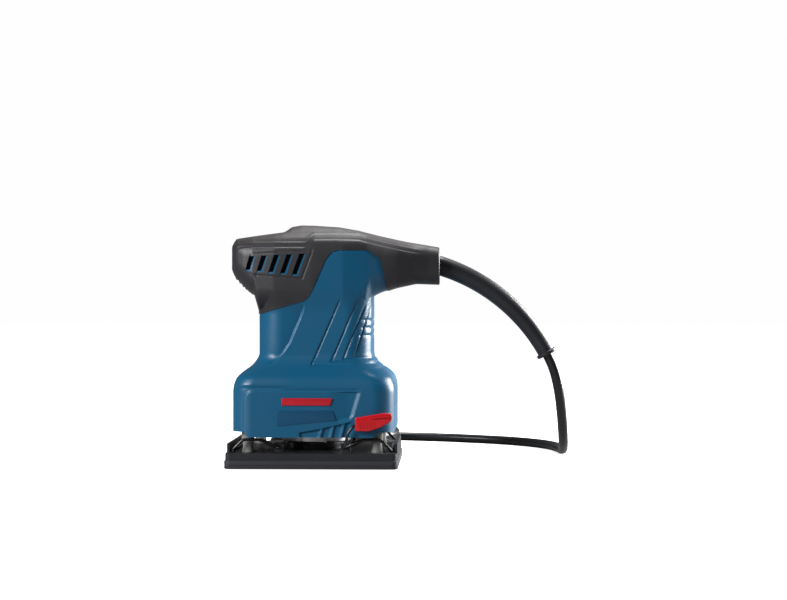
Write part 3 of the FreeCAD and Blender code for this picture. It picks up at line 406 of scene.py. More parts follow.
def swept_rings(path: np.ndarray, radii: np.ndarray, around: int = 20) -> np.ndarray:
    """Circles along a path, each at right angles to it, with its start turned towards one fixed direction.

    Args:
        path: Points along the centre line.
        radii: The radius at each point.
        around: Points in each circle.

    Returns:
        Rings as (stations, around, 3).
    """
    heading = np.gradient(path, axis=0)
    heading /= np.linalg.norm(heading, axis=1, keepdims=True)
    side = np.cross(heading, np.array([1.0, -1.0, 1.0]))
    side /= np.linalg.norm(side, axis=1, keepdims=True)
    other = np.cross(heading, side)
    turn = np.linspace(0, 2 * math.pi, around, endpoint=False)[None, :, None]
    spoke = np.cos(turn) * side[:, None] + np.sin(turn) * other[:, None]
    return path[:, None] + spoke * np.asarray(radii, float)[:, None, None]


def wire(name: str, path: np.ndarray, radius: float) -> bpy.types.Object:
    """A wire of one thickness: circles along the path, which shrink over its first and last points."""
    start, end = path[1] - path[0], path[-1] - path[-2]
    start, end = start / np.linalg.norm(start), end / np.linalg.norm(end)
    back, draw = edge_arc(radius * 0.85, 4)
    path = np.concatenate([path[0] + start * back[:-1, None] * 1.0, path[:1] + start * back[-1],
                           path[1:-1], path[-1:] - end * back[-1], path[-1] - end * back[:-1][::-1, None]])
    radii = np.full(len(path), radius)
    radii[:3] -= draw[:-1]
    radii[-3:] -= draw[:-1][::-1]
    return loft(name, swept_rings(path, radii, 16))


def smooth_outline(corners: Points, bend: float) -> np.ndarray:
    """A closed outline of straight sides with a quadratic curve at each corner."""
    spots = np.array(corners, float)
    closed = np.concatenate([spots[-1:], spots, spots[:1]])
    flat = np.concatenate([closed, np.zeros((len(closed), 1))], 1)
    return wire_path([tuple(spot) for spot in flat], bend)[1:-1, :2]


def near_round(half: float, corner: float) -> np.ndarray:
    """A square outline about the origin, with corners so wide that it is close to a circle.

    Args:
        half: Half the width of the square, in mm.
        corner: Radius of its corners, in mm.

    Returns:
        The outline's points.
    """
    return smooth_outline([(-half, -half), (half, -half), (half, half), (-half, half)], corner)


def rounded_prism(name: str, outline: np.ndarray, low: float, high: float, edge: float,
                  axes: np.ndarray | None = None,
                  origin: tuple[float, float, float] = (0, 0, 0)) -> bpy.types.Object:
    """A prism on an outline, with quarter round edges: the outline moves in along its normals near both ends.

    Args:
        name: The object's name.
        outline: (u, v) corners in order.
        low: Where the prism starts along w.
        high: Where it ends.
        edge: Radius of its edges.
        axes: Directions of u, v and w as rows, or X, Z and Y.
        origin: Where u, v and w are nought.

    Returns:
        The new object.
    """
    axes = np.array([[1, 0, 0], [0, 0, 1], [0, 1, 0]], float) if axes is None else axes
    tangent = np.roll(outline, -1, axis=0) - np.roll(outline, 1, axis=0)
    tangent /= np.linalg.norm(tangent, axis=1, keepdims=True)
    normal = np.stack([tangent[:, 1], -tangent[:, 0]], -1)
    area = (outline[:, 0] * np.roll(outline[:, 1], -1) - outline[:, 1] * np.roll(outline[:, 0], -1)).sum()
    normal *= np.sign(area)
    back, draw = edge_arc(edge)
    height = np.concatenate([low + back, (high - back)[::-1]])
    inset = np.concatenate([draw, draw[::-1]])
    flat = outline[None] - normal[None] * inset[:, None, None]
    local = np.concatenate([flat, np.broadcast_to(height[:, None, None], flat.shape[:2] + (1,))], -1)
    return loft(name, local @ axes + np.array(origin, float))


def turned(name: str, profile: Points, centre: tuple[float, float], around: int = 48) -> bpy.types.Object:
    """A solid of revolution about an upright line, from (radius, height) pairs.

    Args:
        name: The object's name.
        profile: Radii, none of them nought, and heights.
        centre: Where the line stands in X and Y.
        around: Points in each ring.

    Returns:
        The new object.
    """
    turn = np.linspace(0, 2 * math.pi, around, endpoint=False)
    radius, height = (column[:, None] for column in np.array(profile, float).T)
    rings = np.stack([centre[0] + radius * np.cos(turn), centre[1] + radius * np.sin(turn),
                      np.broadcast_to(height, (len(profile), around))], -1)
    return loft(name, rings)


def box_tool(low: tuple[float, float, float], high: tuple[float, float, float]) -> bpy.types.Object:
    """A plain box that only cuts other pieces."""
    x, y, z = zip(low, high)
    ring = np.array([[x[0], y[0]], [x[1], y[0]], [x[1], y[1]], [x[0], y[1]]])
    rings = np.stack([np.concatenate([ring, np.full((4, 1), level)], 1) for level in z])
    return loft("tool_box", rings)


def carve(name: str, base: bpy.types.Object, steps: list[tuple[str, bpy.types.Object]]) -> bpy.types.Object:
    """Join closed pieces to a base and cut others from it, in order.

    Args:
        name: Name of the result.
        base: The piece to start from, which stays as it is.
        steps: (operation, piece) pairs, where an operation is UNION, DIFFERENCE or INTERSECT.

    Returns:
        A new object with the result.
    """
    for operation, tool in steps:
        modifier = base.modifiers.new(operation, "BOOLEAN")
        modifier.operation = operation
        modifier.object = tool
        modifier.solver = "MANIFOLD"
    bpy.context.view_layer.update()
    graph = bpy.context.evaluated_depsgraph_get()
    mesh = bpy.data.meshes.new_from_object(base.evaluated_get(graph))
    base.modifiers.clear()
    mesh.name = name
    mesh.shade_smooth()
    mesh.set_sharp_from_angle(angle=math.radians(34))
    piece = bpy.data.objects.new(name, mesh)
    bpy.context.scene.collection.objects.link(piece)
    LOG.info("%s has %d faces", name, len(mesh.polygons))
    return piece


def discard(*pieces: bpy.types.Object) -> None:
    """Remove pieces that only shaped others."""
    for piece in pieces:
        bpy.data.objects.remove(piece)


def softened(name: str, node: str, edge: float) -> bpy.types.Object:
    """A copy of an engineering solid with its corners merged and its edges rounded by a Bevel.

    Args:
        name: Name of the copy.
        node: The solid.
        edge: Radius of the edges.

    Returns:
        The new object.
    """
    source = NODES[node].data
    points = np.zeros(len(source.vertices) * 3)
    source.vertices.foreach_get("co", points)
    spots, back = np.unique(np.round(points.reshape(-1, 3), 6), axis=0, return_inverse=True)
    faces = np.array([list(face.vertices) for face in source.polygons])
    faces = back.reshape(-1)[faces]
    whole = (faces[:, 0] != faces[:, 1]) & (faces[:, 1] != faces[:, 2]) & (faces[:, 2] != faces[:, 0])
    piece = mesh_piece(name, spots / MM, faces[whole].tolist())
    bevel = piece.modifiers.new("edges", "BEVEL")
    bevel.width = edge * MM
    bevel.segments = 2
    bevel.limit_method = "ANGLE"
    bevel.angle_limit = math.radians(40)
    bevel.use_clamp_overlap = True
    return piece


def fit(piece: bpy.types.Object, finish: Finish, body: str, slot: str, *nodes: str) -> bpy.types.Object:
    """Finish a piece, tie it to its moving body and let it stand for engineering solids.

    Args:
        piece: The piece.
        finish: Its finish.
        body: The body that it rides on.
        slot: The record's material slot. Not used.
        nodes: The solids that it stands for.

    Returns:
        The same piece.
    """
    finish.dress(piece)
    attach(piece, body)
    if nodes:
        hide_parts(*nodes)
    LOG.info("fitted %s on %s", piece.name, body)
    return piece


# ---------------------------------------------------------------- housing

# Housing screws: place along X, height, depth of the seat from the middle, and end of its post, in mm.
SKIRT_SCREWS = ((-45.5, 40, 28.2, 43.6), (45.5, 40, 28.2, 43.6))
HEAD_SCREWS = ((-44, 142, 17.5, 28.0), (55.4, 141, 10.5, 18.0))


@dataclass
class HeadForm:
    """The head and handle as rounded rectangles stacked along X, with stepped sides and ribbed patches."""

    top: Points = field(default_factory=lambda: [
        (-56, 145.4), (-52.8, 148.9), (-34, 151.4), (-19.7, 153.2), (0, 154.3), (15, 154.5), (30, 154),
        (43, 150.8), (60, 147.2), (83, 143.4)])
    # The palm swell stands on the middle of the top.
    swell: Points = field(default_factory=lambda: [(-20.5, 0), (-15.3, 3.5), (-9, 4.2), (17, 2.1), (31, 0)])
    low: Points = field(default_factory=lambda: [
        (-56, 127), (-53.6, 123.1), (-47.4, 117), (-42.9, 113.4), (-39.5, 111.6), (-37.9, 110), (-37, 105),
        (-36.5, 101), (34, 101), (37.5, 110.5), (43.1, 113.2), (53.9, 116.5), (66.6, 119.2), (83, 118.6)])
    half: Points = field(default_factory=lambda: [
        (-56, 29), (-50, 32.5), (-40, 35.5), (-25, 37.4), (0, 37.5), (20, 36.5), (35, 33), (45, 28), (55, 22.5),
        (65, 18.5), (75, 16), (83, 15.3)])
    corner: Points = field(default_factory=lambda: [
        (-56, 8.5), (-50, 12), (-38, 15), (-18, 16), (20, 17), (42, 14), (60, 11), (83, 10)])
    nose_x: float = -56.0
    handle_x: float = 82.4
    nose_edge: float = 3.0
    bow: float = 6.0
    # Side steps: height at the front, height at the back, and the least drop below the top.
    steps: Points = field(default_factory=lambda: [
        (142.3, 148.2, 7.0), (145.9, 150.8, 4.0), (149.6, 153.2, 1.8)])
    step_depth: float = 0.75
    step_rise: float = 0.65

    def step_line(self, which: int, x: np.ndarray) -> np.ndarray:
        """Height of a side step: level in front, a ramp between X -5.5 and 3, then level or along the top."""
        front, back, drop = self.steps[which]
        line = front + (back - front) * ease(-5.5, 3, x)
        return np.minimum(line, follow(self.top, x) - drop)

    def step_turns(self, x: np.ndarray, middle: np.ndarray, radius: np.ndarray) -> np.ndarray:
        """Angles round a top corner, spaced so that rows of the mesh run along both edges of every side step.

        Args:
            x: Places along the tool.
            middle: Height of the corner's centre at each place.
            radius: Its radius.

        Returns:
            Angles above level as (places, points).
        """
        edges = [self.step_line(which, x) + rise for which in range(3) for rise in (0.0, self.step_rise)]
        turn = np.arcsin(np.clip((np.stack(edges, -1) - middle[:, None]) / radius[:, None], 0.02, 0.98))
        ends = np.pad(turn, ((0, 0), (1, 1)), constant_values=((0, 0), (0, math.pi / 2)))
        knots = np.array([0, 8, 10, 16, 18, 24, 26, 40])
        at = np.arange(41)
        cell = np.clip(np.searchsorted(knots, at, side="right") - 1, 0, 6)
        part = (at - knots[cell]) / (knots[cell + 1] - knots[cell])
        return ends[:, cell] + (ends[:, cell + 1] - ends[:, cell]) * part

    def rings(self, inset: float, fine: bool) -> np.ndarray:
        """Stack the rounded rectangles from nose to handle.

        Args:
            inset: How far inside the form to stand.
            fine: Whether to stack them closely and add steps, ribs and the vent frame.

        Returns:
            Rings as (stations, around, 3).
        """
        first, last = self.nose_x + inset, self.handle_x - inset
        place = np.arange(first, last, 0.6 if fine else 1.6)
        nose_edge = max(self.nose_edge - inset, 0.3)
        back, draw = edge_arc(nose_edge, 7)
        x = np.concatenate([np.full(4, first), first + back,
                            place[(place > first + nose_edge + 0.2) & (place < last - 1.4)],
                            (last - edge_arc(1.0, 4)[0])[::-1]])
        pull = np.zeros(len(x))
        pull[:4] = draw[0]
        pull[4:4 + len(draw)] = draw
        pull[-4:] = edge_arc(1.0, 4)[1][::-1]
        steady = np.arange(self.nose_x, self.handle_x + 0.6, 0.5)
        top, low, half, corner = (np.interp(x, steady, follow(knots, steady, 3))
                                  for knots in (self.top, self.low, self.half, self.corner))
        trim = inset + pull
        half_z = (top - low) / 2 - trim
        counts = (15, 20, 60) if fine else (8, 8, 10)
        turns = self.step_turns(x, top - corner, corner) if fine else None
        flat, normal = rounded_rings(half - trim, half_z, np.minimum(corner - trim, half_z - 1),
                                     *counts, turns)
        # The nose's flat end closes inwards in four more rings, so that it can be bowed.
        flat[:4] *= np.array([0.03, 0.25, 0.5, 0.75])[:, None, None]
        y, z = flat[..., 0], flat[..., 1] + ((top + low) / 2)[:, None]
        x = np.broadcast_to(x[:, None], y.shape)
        if fine:
            y, z = self.detail(x, y, z, normal)
        # The nose is bowed: points away from the middle stand further back, less and less towards the neck.
        back = self.bow * np.clip(np.abs(y) / 34, 0, 1.1) ** 2.4 * (1 - ease(-56, -36, x))
        return np.stack([x + back, y, z], -1)

    def detail(self, x: np.ndarray, y: np.ndarray, z: np.ndarray,
               normal: np.ndarray) -> tuple[np.ndarray, np.ndarray]:
        """Step the sides in above each line, rib the nose's top and underside, and cut the fine vent frame.

        Args:
            x: Places along the tool.
            y: Places across it.
            z: Heights.
            normal: Outward normals in Y and Z.

        Returns:
            The new places across and heights.
        """
        climb = [np.clip((z - self.step_line(which, x)) / self.step_rise, 0, 1) for which in range(3)]
        taken = (self.step_depth * sum(climb) * ease(-55, -51, x) * (1 - ease(60, 74, x))
                 * ease(4, 12, np.abs(y)))
        left = -45.6 + (z - 126) * 0.30
        right = -6.2 + (z - 123) * 0.36
        frame_gap = np.minimum(np.minimum(x - left, right - x),
                               np.minimum(z - (125.6 - (x + 45) * 0.085), 138.9 + (x + 45) * 0.045 - z))
        sideways = ease(0.7, 0.95, np.abs(normal[..., 0]))
        taken = taken + 0.35 * np.exp(-((frame_gap / 0.42) ** 2)) * sideways
        middle = 1 - ease(16, 24, np.abs(y))
        wave = np.cos(2 * math.pi * x / 2.3)
        patch = ease(-54.5, -52.5, x) * (1 - ease(-37.5, -35.5, x)) * middle
        lift = 0.32 * wave * patch * ease(0.5, 0.9, normal[..., 1])
        palm = np.interp(x, *np.array(self.swell).T) * (1 - ease(15, 28, np.abs(y)))
        lift += palm * ease(0.1, 0.4, normal[..., 1])
        drop = 0.7 * wave * patch * ease(0.5, 0.9, -normal[..., 1])
        return y - np.sign(y) * taken, z + lift - drop


@dataclass
class ShellForm:
    """The skirt, shoulder and neck as rounded rectangles stacked along Z, with their relief."""

    half_x: Points = field(default_factory=lambda: [
        (10, 52.8), (50, 52.7), (54, 52.1), (58.4, 50.4), (61.9, 46.7), (65.7, 41.3), (69.9, 38.3),
        (72.5, 37.1), (120, 37.1)])
    half_y: Points = field(default_factory=lambda: [
        (10, 46.2), (50, 46.2), (54, 45.8), (58.4, 44.2), (61.9, 41.0), (65.7, 37.6), (69.9, 35.2),
        (72.5, 34.5), (120, 34.5)])
    corner: Points = field(default_factory=lambda: [(10, 14), (58, 14), (70, 17), (120, 17)])
    crease: Points = field(default_factory=lambda: [
        (60, -33), (67, -26.4), (70.4, -23.4), (74.9, -18.6), (80.9, -14.5), (88.4, -11.5), (96.5, -7.8),
        (104.7, -5.2), (115, -3)])
    # Foot and head of each slanted step on the neck: x, z, x, z.
    steps: Points = field(default_factory=lambda: [
        (-0.3, 66.7, 16.1, 104.3), (12.4, 68.9, 22.8, 92.8), (20.2, 70.6, 27.3, 87.6),
        (27.6, 71.5, 31.7, 84.6)])
    step_depth: float = 0.85
    shift: float = 0.7
    head: HeadForm = field(default_factory=HeadForm)
    rib_heights: tuple[float, ...] = (95.5, 90.5, 85.5, 70.5, 67.0, 63.8)
    panel_depth: float = 1.0
    low: float = 12.0
    high: float = 119.0

    def neck_relief(self, x: np.ndarray, z: np.ndarray) -> np.ndarray:
        """Depth of the neck's hollow and of its slanted steps.

        The hollow is deepest at the crease and dies away forwards; each step is a narrow groove, steep towards
        the cord end, with the surface behind it a little lower.

        Args:
            x: Places along the tool.
            z: Heights.

        Returns:
            Depths inwards.
        """
        heights, places = np.array(self.crease).T
        ahead = np.interp(z, heights, places) - x
        depth = 1.5 * ease(-0.5, 0.9, ahead) * np.exp(-np.clip(ahead, 0, None) / 9) * ease(66, 69.5, z) \
            * (1 - ease(100, 107, z))
        for foot_x, foot_z, head_x, head_z in self.steps:
            lean = (head_x - foot_x) / (head_z - foot_z)
            behind = (x - foot_x - lean * (z - foot_z)) / math.hypot(1, lean)
            above = z - foot_z + 0.25 * np.clip(behind, 0, 1)
            inside = np.minimum(behind, above)
            groove = ease(-1.0, 0.0, inside) * (1 - 0.75 * ease(0.1, 0.8, inside))
            depth += (self.step_depth * groove * np.exp(-np.clip(behind, 0, None) / 12)
                      * (1 - ease(104, 110, z)))
        return depth

    def skirt_relief(self, x: np.ndarray, z: np.ndarray) -> np.ndarray:
        """Depth round the raised side panel, and of the ribbed hollow under its slanted lower edge.

        Args:
            x: Places along the tool, with the lever at the positive end.
            z: Heights.

        Returns:
            Depths inwards.
        """
        left, top = x + 43.4, 49.8 - z
        right = 27.6 + (z - 32.2) * 0.2886 - x
        under = np.interp(x, (-60, -9, -8, 1.1, 24.5, 28), (-40, -40, 24.5, 26, 31.1, 33))
        round_corner = 7 - np.hypot(np.clip(7 - left, 0, None), np.clip(7 - top, 0, None))
        inside = np.minimum(np.minimum(round_corner, right), np.where(x < -9, 50, z - under))
        # The panel is flat on a bulging side, so it stands proud at its front end and is sunk at the other.
        outside = self.panel_depth * (1 - ease(-1.2, 0, inside)) * np.exp(-np.clip(-inside, 0, None) / 16) \
            * (1 - ease(-24, -4, x))
        sunk = 1.25 * ease(10, 26, x) * ease(0, 3.2, right) * ease(0, 1.0, top) * ease(0, 2.2, z - under)
        hollow = np.minimum(np.minimum(under - 1.3 - z, x + 7.5), 25.8 - x)
        lean = x - 0.25 * (z - 24)
        ribs = np.exp(-((np.abs(lean[..., None] - np.array([6.6, 13.6, 20.2])) / 1.1) ** 4)).sum(-1)
        groove = 0.55 * np.exp(-(((z - 50.6) / 0.6) ** 2)) * ease(-24, -12, x) * (1 - ease(28, 33, x))
        return outside + sunk + 1.5 * ease(0.0, 0.8, hollow) * (1 - 0.85 * ribs) + groove

    def rings(self, inflate: float, low: float, high: float, fine: bool) -> np.ndarray:
        """Stack the rounded rectangles.

        Args:
            inflate: How far outside the form to stand.
            low: Height of the first.
            high: Height of the last.
            fine: Whether to stack them closely and sink the relief in.

        Returns:
            Rings as (stations, around, 3).
        """
        pitch = 0.55 if fine else 2.0
        height = np.linspace(low, high, int((high - low) / pitch) + 1)
        blur = 4 if fine else 1
        half_x, half_y, corner = (
            follow(knots, height, blur) for knots in (self.half_x, self.half_y, self.corner))
        counts = (36, 130, 14) if fine else (10, 12, 6)
        flat, normal = rounded_rings(half_x + inflate, half_y + inflate, corner + inflate, *counts)
        level = np.broadcast_to(height[:, None], flat.shape[:2])
        flat[..., 0] += self.shift
        # Under the head the sides flare out to run into it, and end just inside it.
        reach = np.interp(flat[..., 0], *np.array(self.head.half).T) - 0.5 + inflate
        reach = reach - 0.5 * ease(117.2, 119, level)
        flare = (reach - np.abs(flat[..., 1])) * ease(99, 116.5, level)
        flare = flare * ease(0.3, 0.85, np.abs(normal[..., 1]))
        flat[..., 1] += np.sign(flat[..., 1]) * flare
        if fine:
            flat = flat - normal * self.relief(flat, normal, level)[..., None]
        return np.concatenate([flat, level[..., None]], -1)

    def relief(self, flat: np.ndarray, normal: np.ndarray, level: np.ndarray) -> np.ndarray:
        """All the moulded relief, faded in by how far the surface faces sideways or backwards."""
        x, y = flat[..., 0], flat[..., 1]
        sideways = ease(0.12, 0.45, np.abs(normal[..., 1]))
        neck = self.neck_relief(x, level) * sideways * ease(61, 66, level)
        skirt = self.skirt_relief(-x * np.sign(y), level) * sideways * (1 - ease(51.5, 54, level))
        backwards = ease(0.35, 0.8, normal[..., 0])
        ribs = np.exp(-((level[..., None] - np.array(self.rib_heights)) / 0.75) ** 2).sum(-1)
        return neck + skirt + 0.55 * ribs * backwards


@dataclass
class Housing:
    """The blue shell halves with the black grip over them."""

    shell: ShellForm = field(default_factory=ShellForm)
    head: HeadForm = field(default_factory=HeadForm)
    wall: float = 2.6
    liner_gap: float = 0.55
    seam: float = 0.08
    sleeve: float = 0.5
    vents: int = 5
    # The blue side window's edge, and round the rest of the black grip.
    boundary: Points = field(default_factory=lambda: [
        (-70, 99.0), (-34.6, 99.5), (-17.4, 104.7), (-6.2, 107.6), (-2.2, 110.9), (0.6, 116.2), (4.2, 124.9),
        (8.4, 134.6), (12.2, 139.6), (16, 140.9), (36, 141), (44, 135), (47.5, 118), (49, 98), (100, 98),
        (100, 175), (-70, 175)])

    def vent_tool(self, near: float, far: float, low: float, high: float) -> bpy.types.Object:
        """Slanted slots through both sides of the head.

        Args:
            near: How much wider each slot is towards the nose.
            far: How much wider it is towards the handle.
            low: How much longer it is downwards.
            high: How much longer it is upwards.

        Returns:
            One cutting piece.
        """
        slots = np.arange(self.vents)[:, None]
        foot = np.concatenate([-42.1 + 7.7 * slots, 127.3 - 0.75 * slots], 1)
        crown = np.concatenate([-39.2 + 8.25 * slots, 137.0 + 0.35 * slots], 1)
        half = 2.1
        ring = np.stack([foot + [-half - near, -low], foot + [half + far, -low],
                         crown + [half + far, high], crown + [-half - near, high]], 1)
        points, faces = [], []
        for side in (LEFT, RIGHT):
            for depth in (22.0, 50.0):
                across = np.full(ring.shape[:2] + (1,), side * depth)
                points.append(np.concatenate([ring[..., :1], across, ring[..., 1:]], -1))
        layers = np.stack(points)
        count = layers.shape[1] * 4
        number = np.arange(layers.shape[0] * count).reshape(layers.shape[:3])
        for side in range(2):
            inner, outer = (number[2 * side], number[2 * side + 1])
            # The near side's slots run outwards along -Y and the far side's along +Y.
            flip = 1 if side == 0 else -1
            sides = np.stack([inner, np.roll(inner, -1, 1), np.roll(outer, -1, 1), outer], -1).reshape(-1, 4)
            caps = np.concatenate([inner[:, ::-1], outer])
            faces += [face[::flip].tolist() for face in np.concatenate([sides, caps])]
        return mesh_piece("tool_vents", layers.reshape(-1, 3), faces)

    def rocker_tool(self) -> bpy.types.Object:
        """The opening that the rocker sits in."""
        return Rocker().block("tool_rocker", 7.2, 7.2, -6.5, 15.0)

    def build(self) -> None:
        """Model the shell and the grip and split each into its moulded pieces."""
        shell = loft("form_shell", self.shell.rings(0.0, self.shell.low, self.shell.high, True))
        liner = loft("form_liner", self.head.rings(self.liner_gap, True))
        shell_room = loft("room_shell", self.shell.rings(-self.wall, 8.0, self.shell.high - 0.4, False))
        head_room = loft("room_head", self.head.rings(self.liner_gap + self.wall, False))
        skin = loft("form_skin", self.head.rings(0.0, True))
        sleeve = loft("form_sleeve", self.shell.rings(self.sleeve, 96.0, 118.0, False))
        outline = smooth_outline(self.boundary, 1.6)
        region = rounded_prism("form_region", outline, -60, 60, 0.0)
        under = rounded_prism("tool_under", np.array([
            (-80, 0), (80, 0), (80, 23.3), (43.5, 23.3), (40.5, 20), (-40.5, 20), (-43.5, 23.3),
            (-80, 23.3)]),
            -60, 60, 0.0)
        rocker = self.rocker_tool()
        across = np.array([[0, 1, 0], [0, 0, 1], [1, 0, 0]], float)
        relief = rounded_prism("tool_relief", near_round(6.8, 6.6), 70, 90, 0.0, across, (0, 0, 131.5))
        inner_vents = self.vent_tool(0.0, -0.95, -0.9, 0.0)
        outer_vents = self.vent_tool(0.15, 0.15, 0.15, 0.15)
        blue = carve("form_blue", shell, [
            ("UNION", liner), ("DIFFERENCE", shell_room), ("DIFFERENCE", head_room), ("DIFFERENCE", under),
            ("DIFFERENCE", inner_vents), ("DIFFERENCE", rocker), ("DIFFERENCE", relief)])
        black = carve("form_black", skin, [
            ("UNION", sleeve), ("INTERSECT", region), ("DIFFERENCE", liner), ("DIFFERENCE", shell),
            ("DIFFERENCE", outer_vents), ("DIFFERENCE", rocker), ("DIFFERENCE", relief)])
        tools = [liner, shell_room, head_room, skin, sleeve, region, under, rocker, relief,
                 inner_vents, outer_vents, shell]
        self.build_shade_sheets()
        self.split_shell(blue)
        self.split_grip(black)
        discard(blue, black, *tools)

    def build_shade_sheets(self) -> None:
        """Model dark sheets a little way behind the vents: painted shade where the view would run through the head.
        """
        outline = smooth_outline([(-48, 121), (-3, 121), (2, 143), (-46, 143)], 2.0)
        for side, name in ((LEFT, "left"), (RIGHT, "right")):
            piece = rounded_prism(f"vent_shade_sheet_{name}", outline, *sorted((side * 22.0, side * 23.2)), 0.3)
            fit(piece, INNER_NYLON, "housing", "inner_plastic")

    def side_space(self, side: int) -> bpy.types.Object:
        """A box round all that lies on one side of the seam between the halves."""
        if side > 0:
            return box_tool((-70, self.seam, -5), (95, 70, 170))
        return box_tool((-70, -70, -5), (95, -self.seam, 170))

    def split_shell(self, blue: bpy.types.Object) -> None:
        """Part the blue shell along the middle, and sink the screws into its right half."""
        for side, name in ((LEFT, "left"), (RIGHT, "right")):
            half = self.side_space(side)
            steps = [("INTERSECT", half)]
            tools = [half]
            if side == RIGHT:
                for x, z, seat, end in SKIRT_SCREWS + HEAD_SCREWS:
                    ring = near_round(4.6, 4.4)
                    post = rounded_prism("tool_post", ring, seat - 3, end, 0.0, origin=(x, 0, z))
                    hole = rounded_prism("tool_hole", ring * 0.69, seat, 60, 0.0, origin=(x, 0, z))
                    steps += [("UNION", post), ("DIFFERENCE", hole)]
                    tools += [post, hole]
            piece = carve(f"shell_{name}", blue, steps)
            discard(*tools)
            fit(piece, BLUE_NYLON, "housing", "blue_shell", f"housing_{name}")

    def split_grip(self, black: bpy.types.Object) -> None:
        """Part the grip into its two sides and the palm cap, whose edge follows the second side step."""
        x = np.arange(-70.0, 100.0, 1.5)
        line = self.head.step_line(1, x)
        cap = np.concatenate([np.stack([x, line + 0.04], -1), [(100, 190), (-70, 190)]])
        rest = np.concatenate([np.stack([x, line - 0.04], -1), [(100, 60), (-70, 60)]])
        above = rounded_prism("tool_above", cap, -60, 60, 0.0)
        below = rounded_prism("tool_below", rest, -60, 60, 0.0)
        holes = [rounded_prism("tool_hole", near_round(3.2, 3.1), 5, 60, 0.0, origin=(x_at, 0, z_at))
                 for x_at, z_at, _, _ in HEAD_SCREWS]
        bored = [("DIFFERENCE", hole) for hole in holes]
        top = carve("grip_cap", black, [("INTERSECT", above)] + bored)
        fit(top, CAP_ELASTOMER, "housing", "black_cap", "grip_top")
        for side, name in ((LEFT, "left"), (RIGHT, "right")):
            half = self.side_space(side)
            steps = [("INTERSECT", half), ("INTERSECT", below)] + (bored if side == RIGHT else [])
            piece = carve(f"grip_side_{name}", black, steps)
            fit(piece, BLACK_ELASTOMER, "housing", "black_grip", f"grip_{name}")
            discard(half)
        discard(above, below, *holes)


@dataclass
class Badges:
    """A plain plate and a plain red bar on each side of the skirt."""

    face_y: float = 46.2
    plate: Points = field(default_factory=lambda: [(-22, 27.1), (16.4, 31.0), (14.0, 37.5), (-22, 37.5)])
    bar: Points = field(default_factory=lambda: [(-19, 40.6), (12.2, 40.6), (14, 45.4), (-19, 45.4)])

    def build(self) -> None:
        """Model both sides, the far one turned half round."""
        for side, name in ((LEFT, "left"), (RIGHT, "right")):
            for kind, outline, proud, finish in (("badge_plate", self.plate, 0.3, BADGE_PLATE),
                                                 ("badge_bar", self.bar, 0.75, RED_LACQUER)):
                flat = smooth_outline(outline, 1.1) * [-side, 1]
                ends = sorted((side * (self.face_y - 1.0), side * (self.face_y + proud)))
                piece = rounded_prism(f"{kind}_{name}", flat, *ends, 0.28)
                nodes = (f"badge_{name}",) if kind == "badge_plate" else ()
                fit(piece, finish, "housing", "badge", *nodes)


# ---------------------------------------------------------------- switch

@dataclass
class Rocker:
    """The ribbed rocker on the neck's front, in its own frame: u up the slope, v outwards, w across."""

    x: float = -36.95
    z: float = 108.1
    slope: float = 111.8
    tilt: float = -6.0
    half: float = 6.2
    width: float = 6.8
    crown: float = 3.1
    dip: float = 1.0
    ribs: int = 6

    def axes(self, tilt: float) -> np.ndarray:
        """Directions of u, v and w as rows, at a tilt from the slope."""
        turn = math.radians(self.slope + tilt)
        return np.array([[math.cos(turn), 0, math.sin(turn)],
                         [-math.sin(turn), 0, math.cos(turn)], [0, 1, 0]])

    def block(self, name: str, half: float, width: float, low: float, high: float) -> bpy.types.Object:
        """A plain block on the slope."""
        outline = np.array([(-half, low), (half, low), (half, high), (-half, high)])
        return rounded_prism(name, outline, -width, width, 0.0, self.axes(0), (self.x, 0, self.z))

    def build(self) -> None:
        """Model the rocker: its outer face is a shallow V with a row of ribs as a cosine."""
        u = np.linspace(self.half, -self.half, 90)
        dish = self.crown - self.dip * (1 - np.abs(u) / self.half)
        ribs = 0.28 * np.cos(2 * math.pi * self.ribs * (u / (2 * self.half))) - 0.3
        face = np.stack([u, dish + ribs * ease(0, 0.8, self.half - np.abs(u))], -1)
        outline = np.concatenate([face, [(-self.half, 0.0), (self.half, 0.0)]])
        piece = rounded_prism("rocker_cap", outline, -self.width, self.width, 0.35, self.axes(self.tilt),
                              (self.x, 0, self.z))
        fit(piece, ROCKER_NYLON, "rocker", "rocker_black", "switch_rocker")


# ---------------------------------------------------------------- platen and clamps

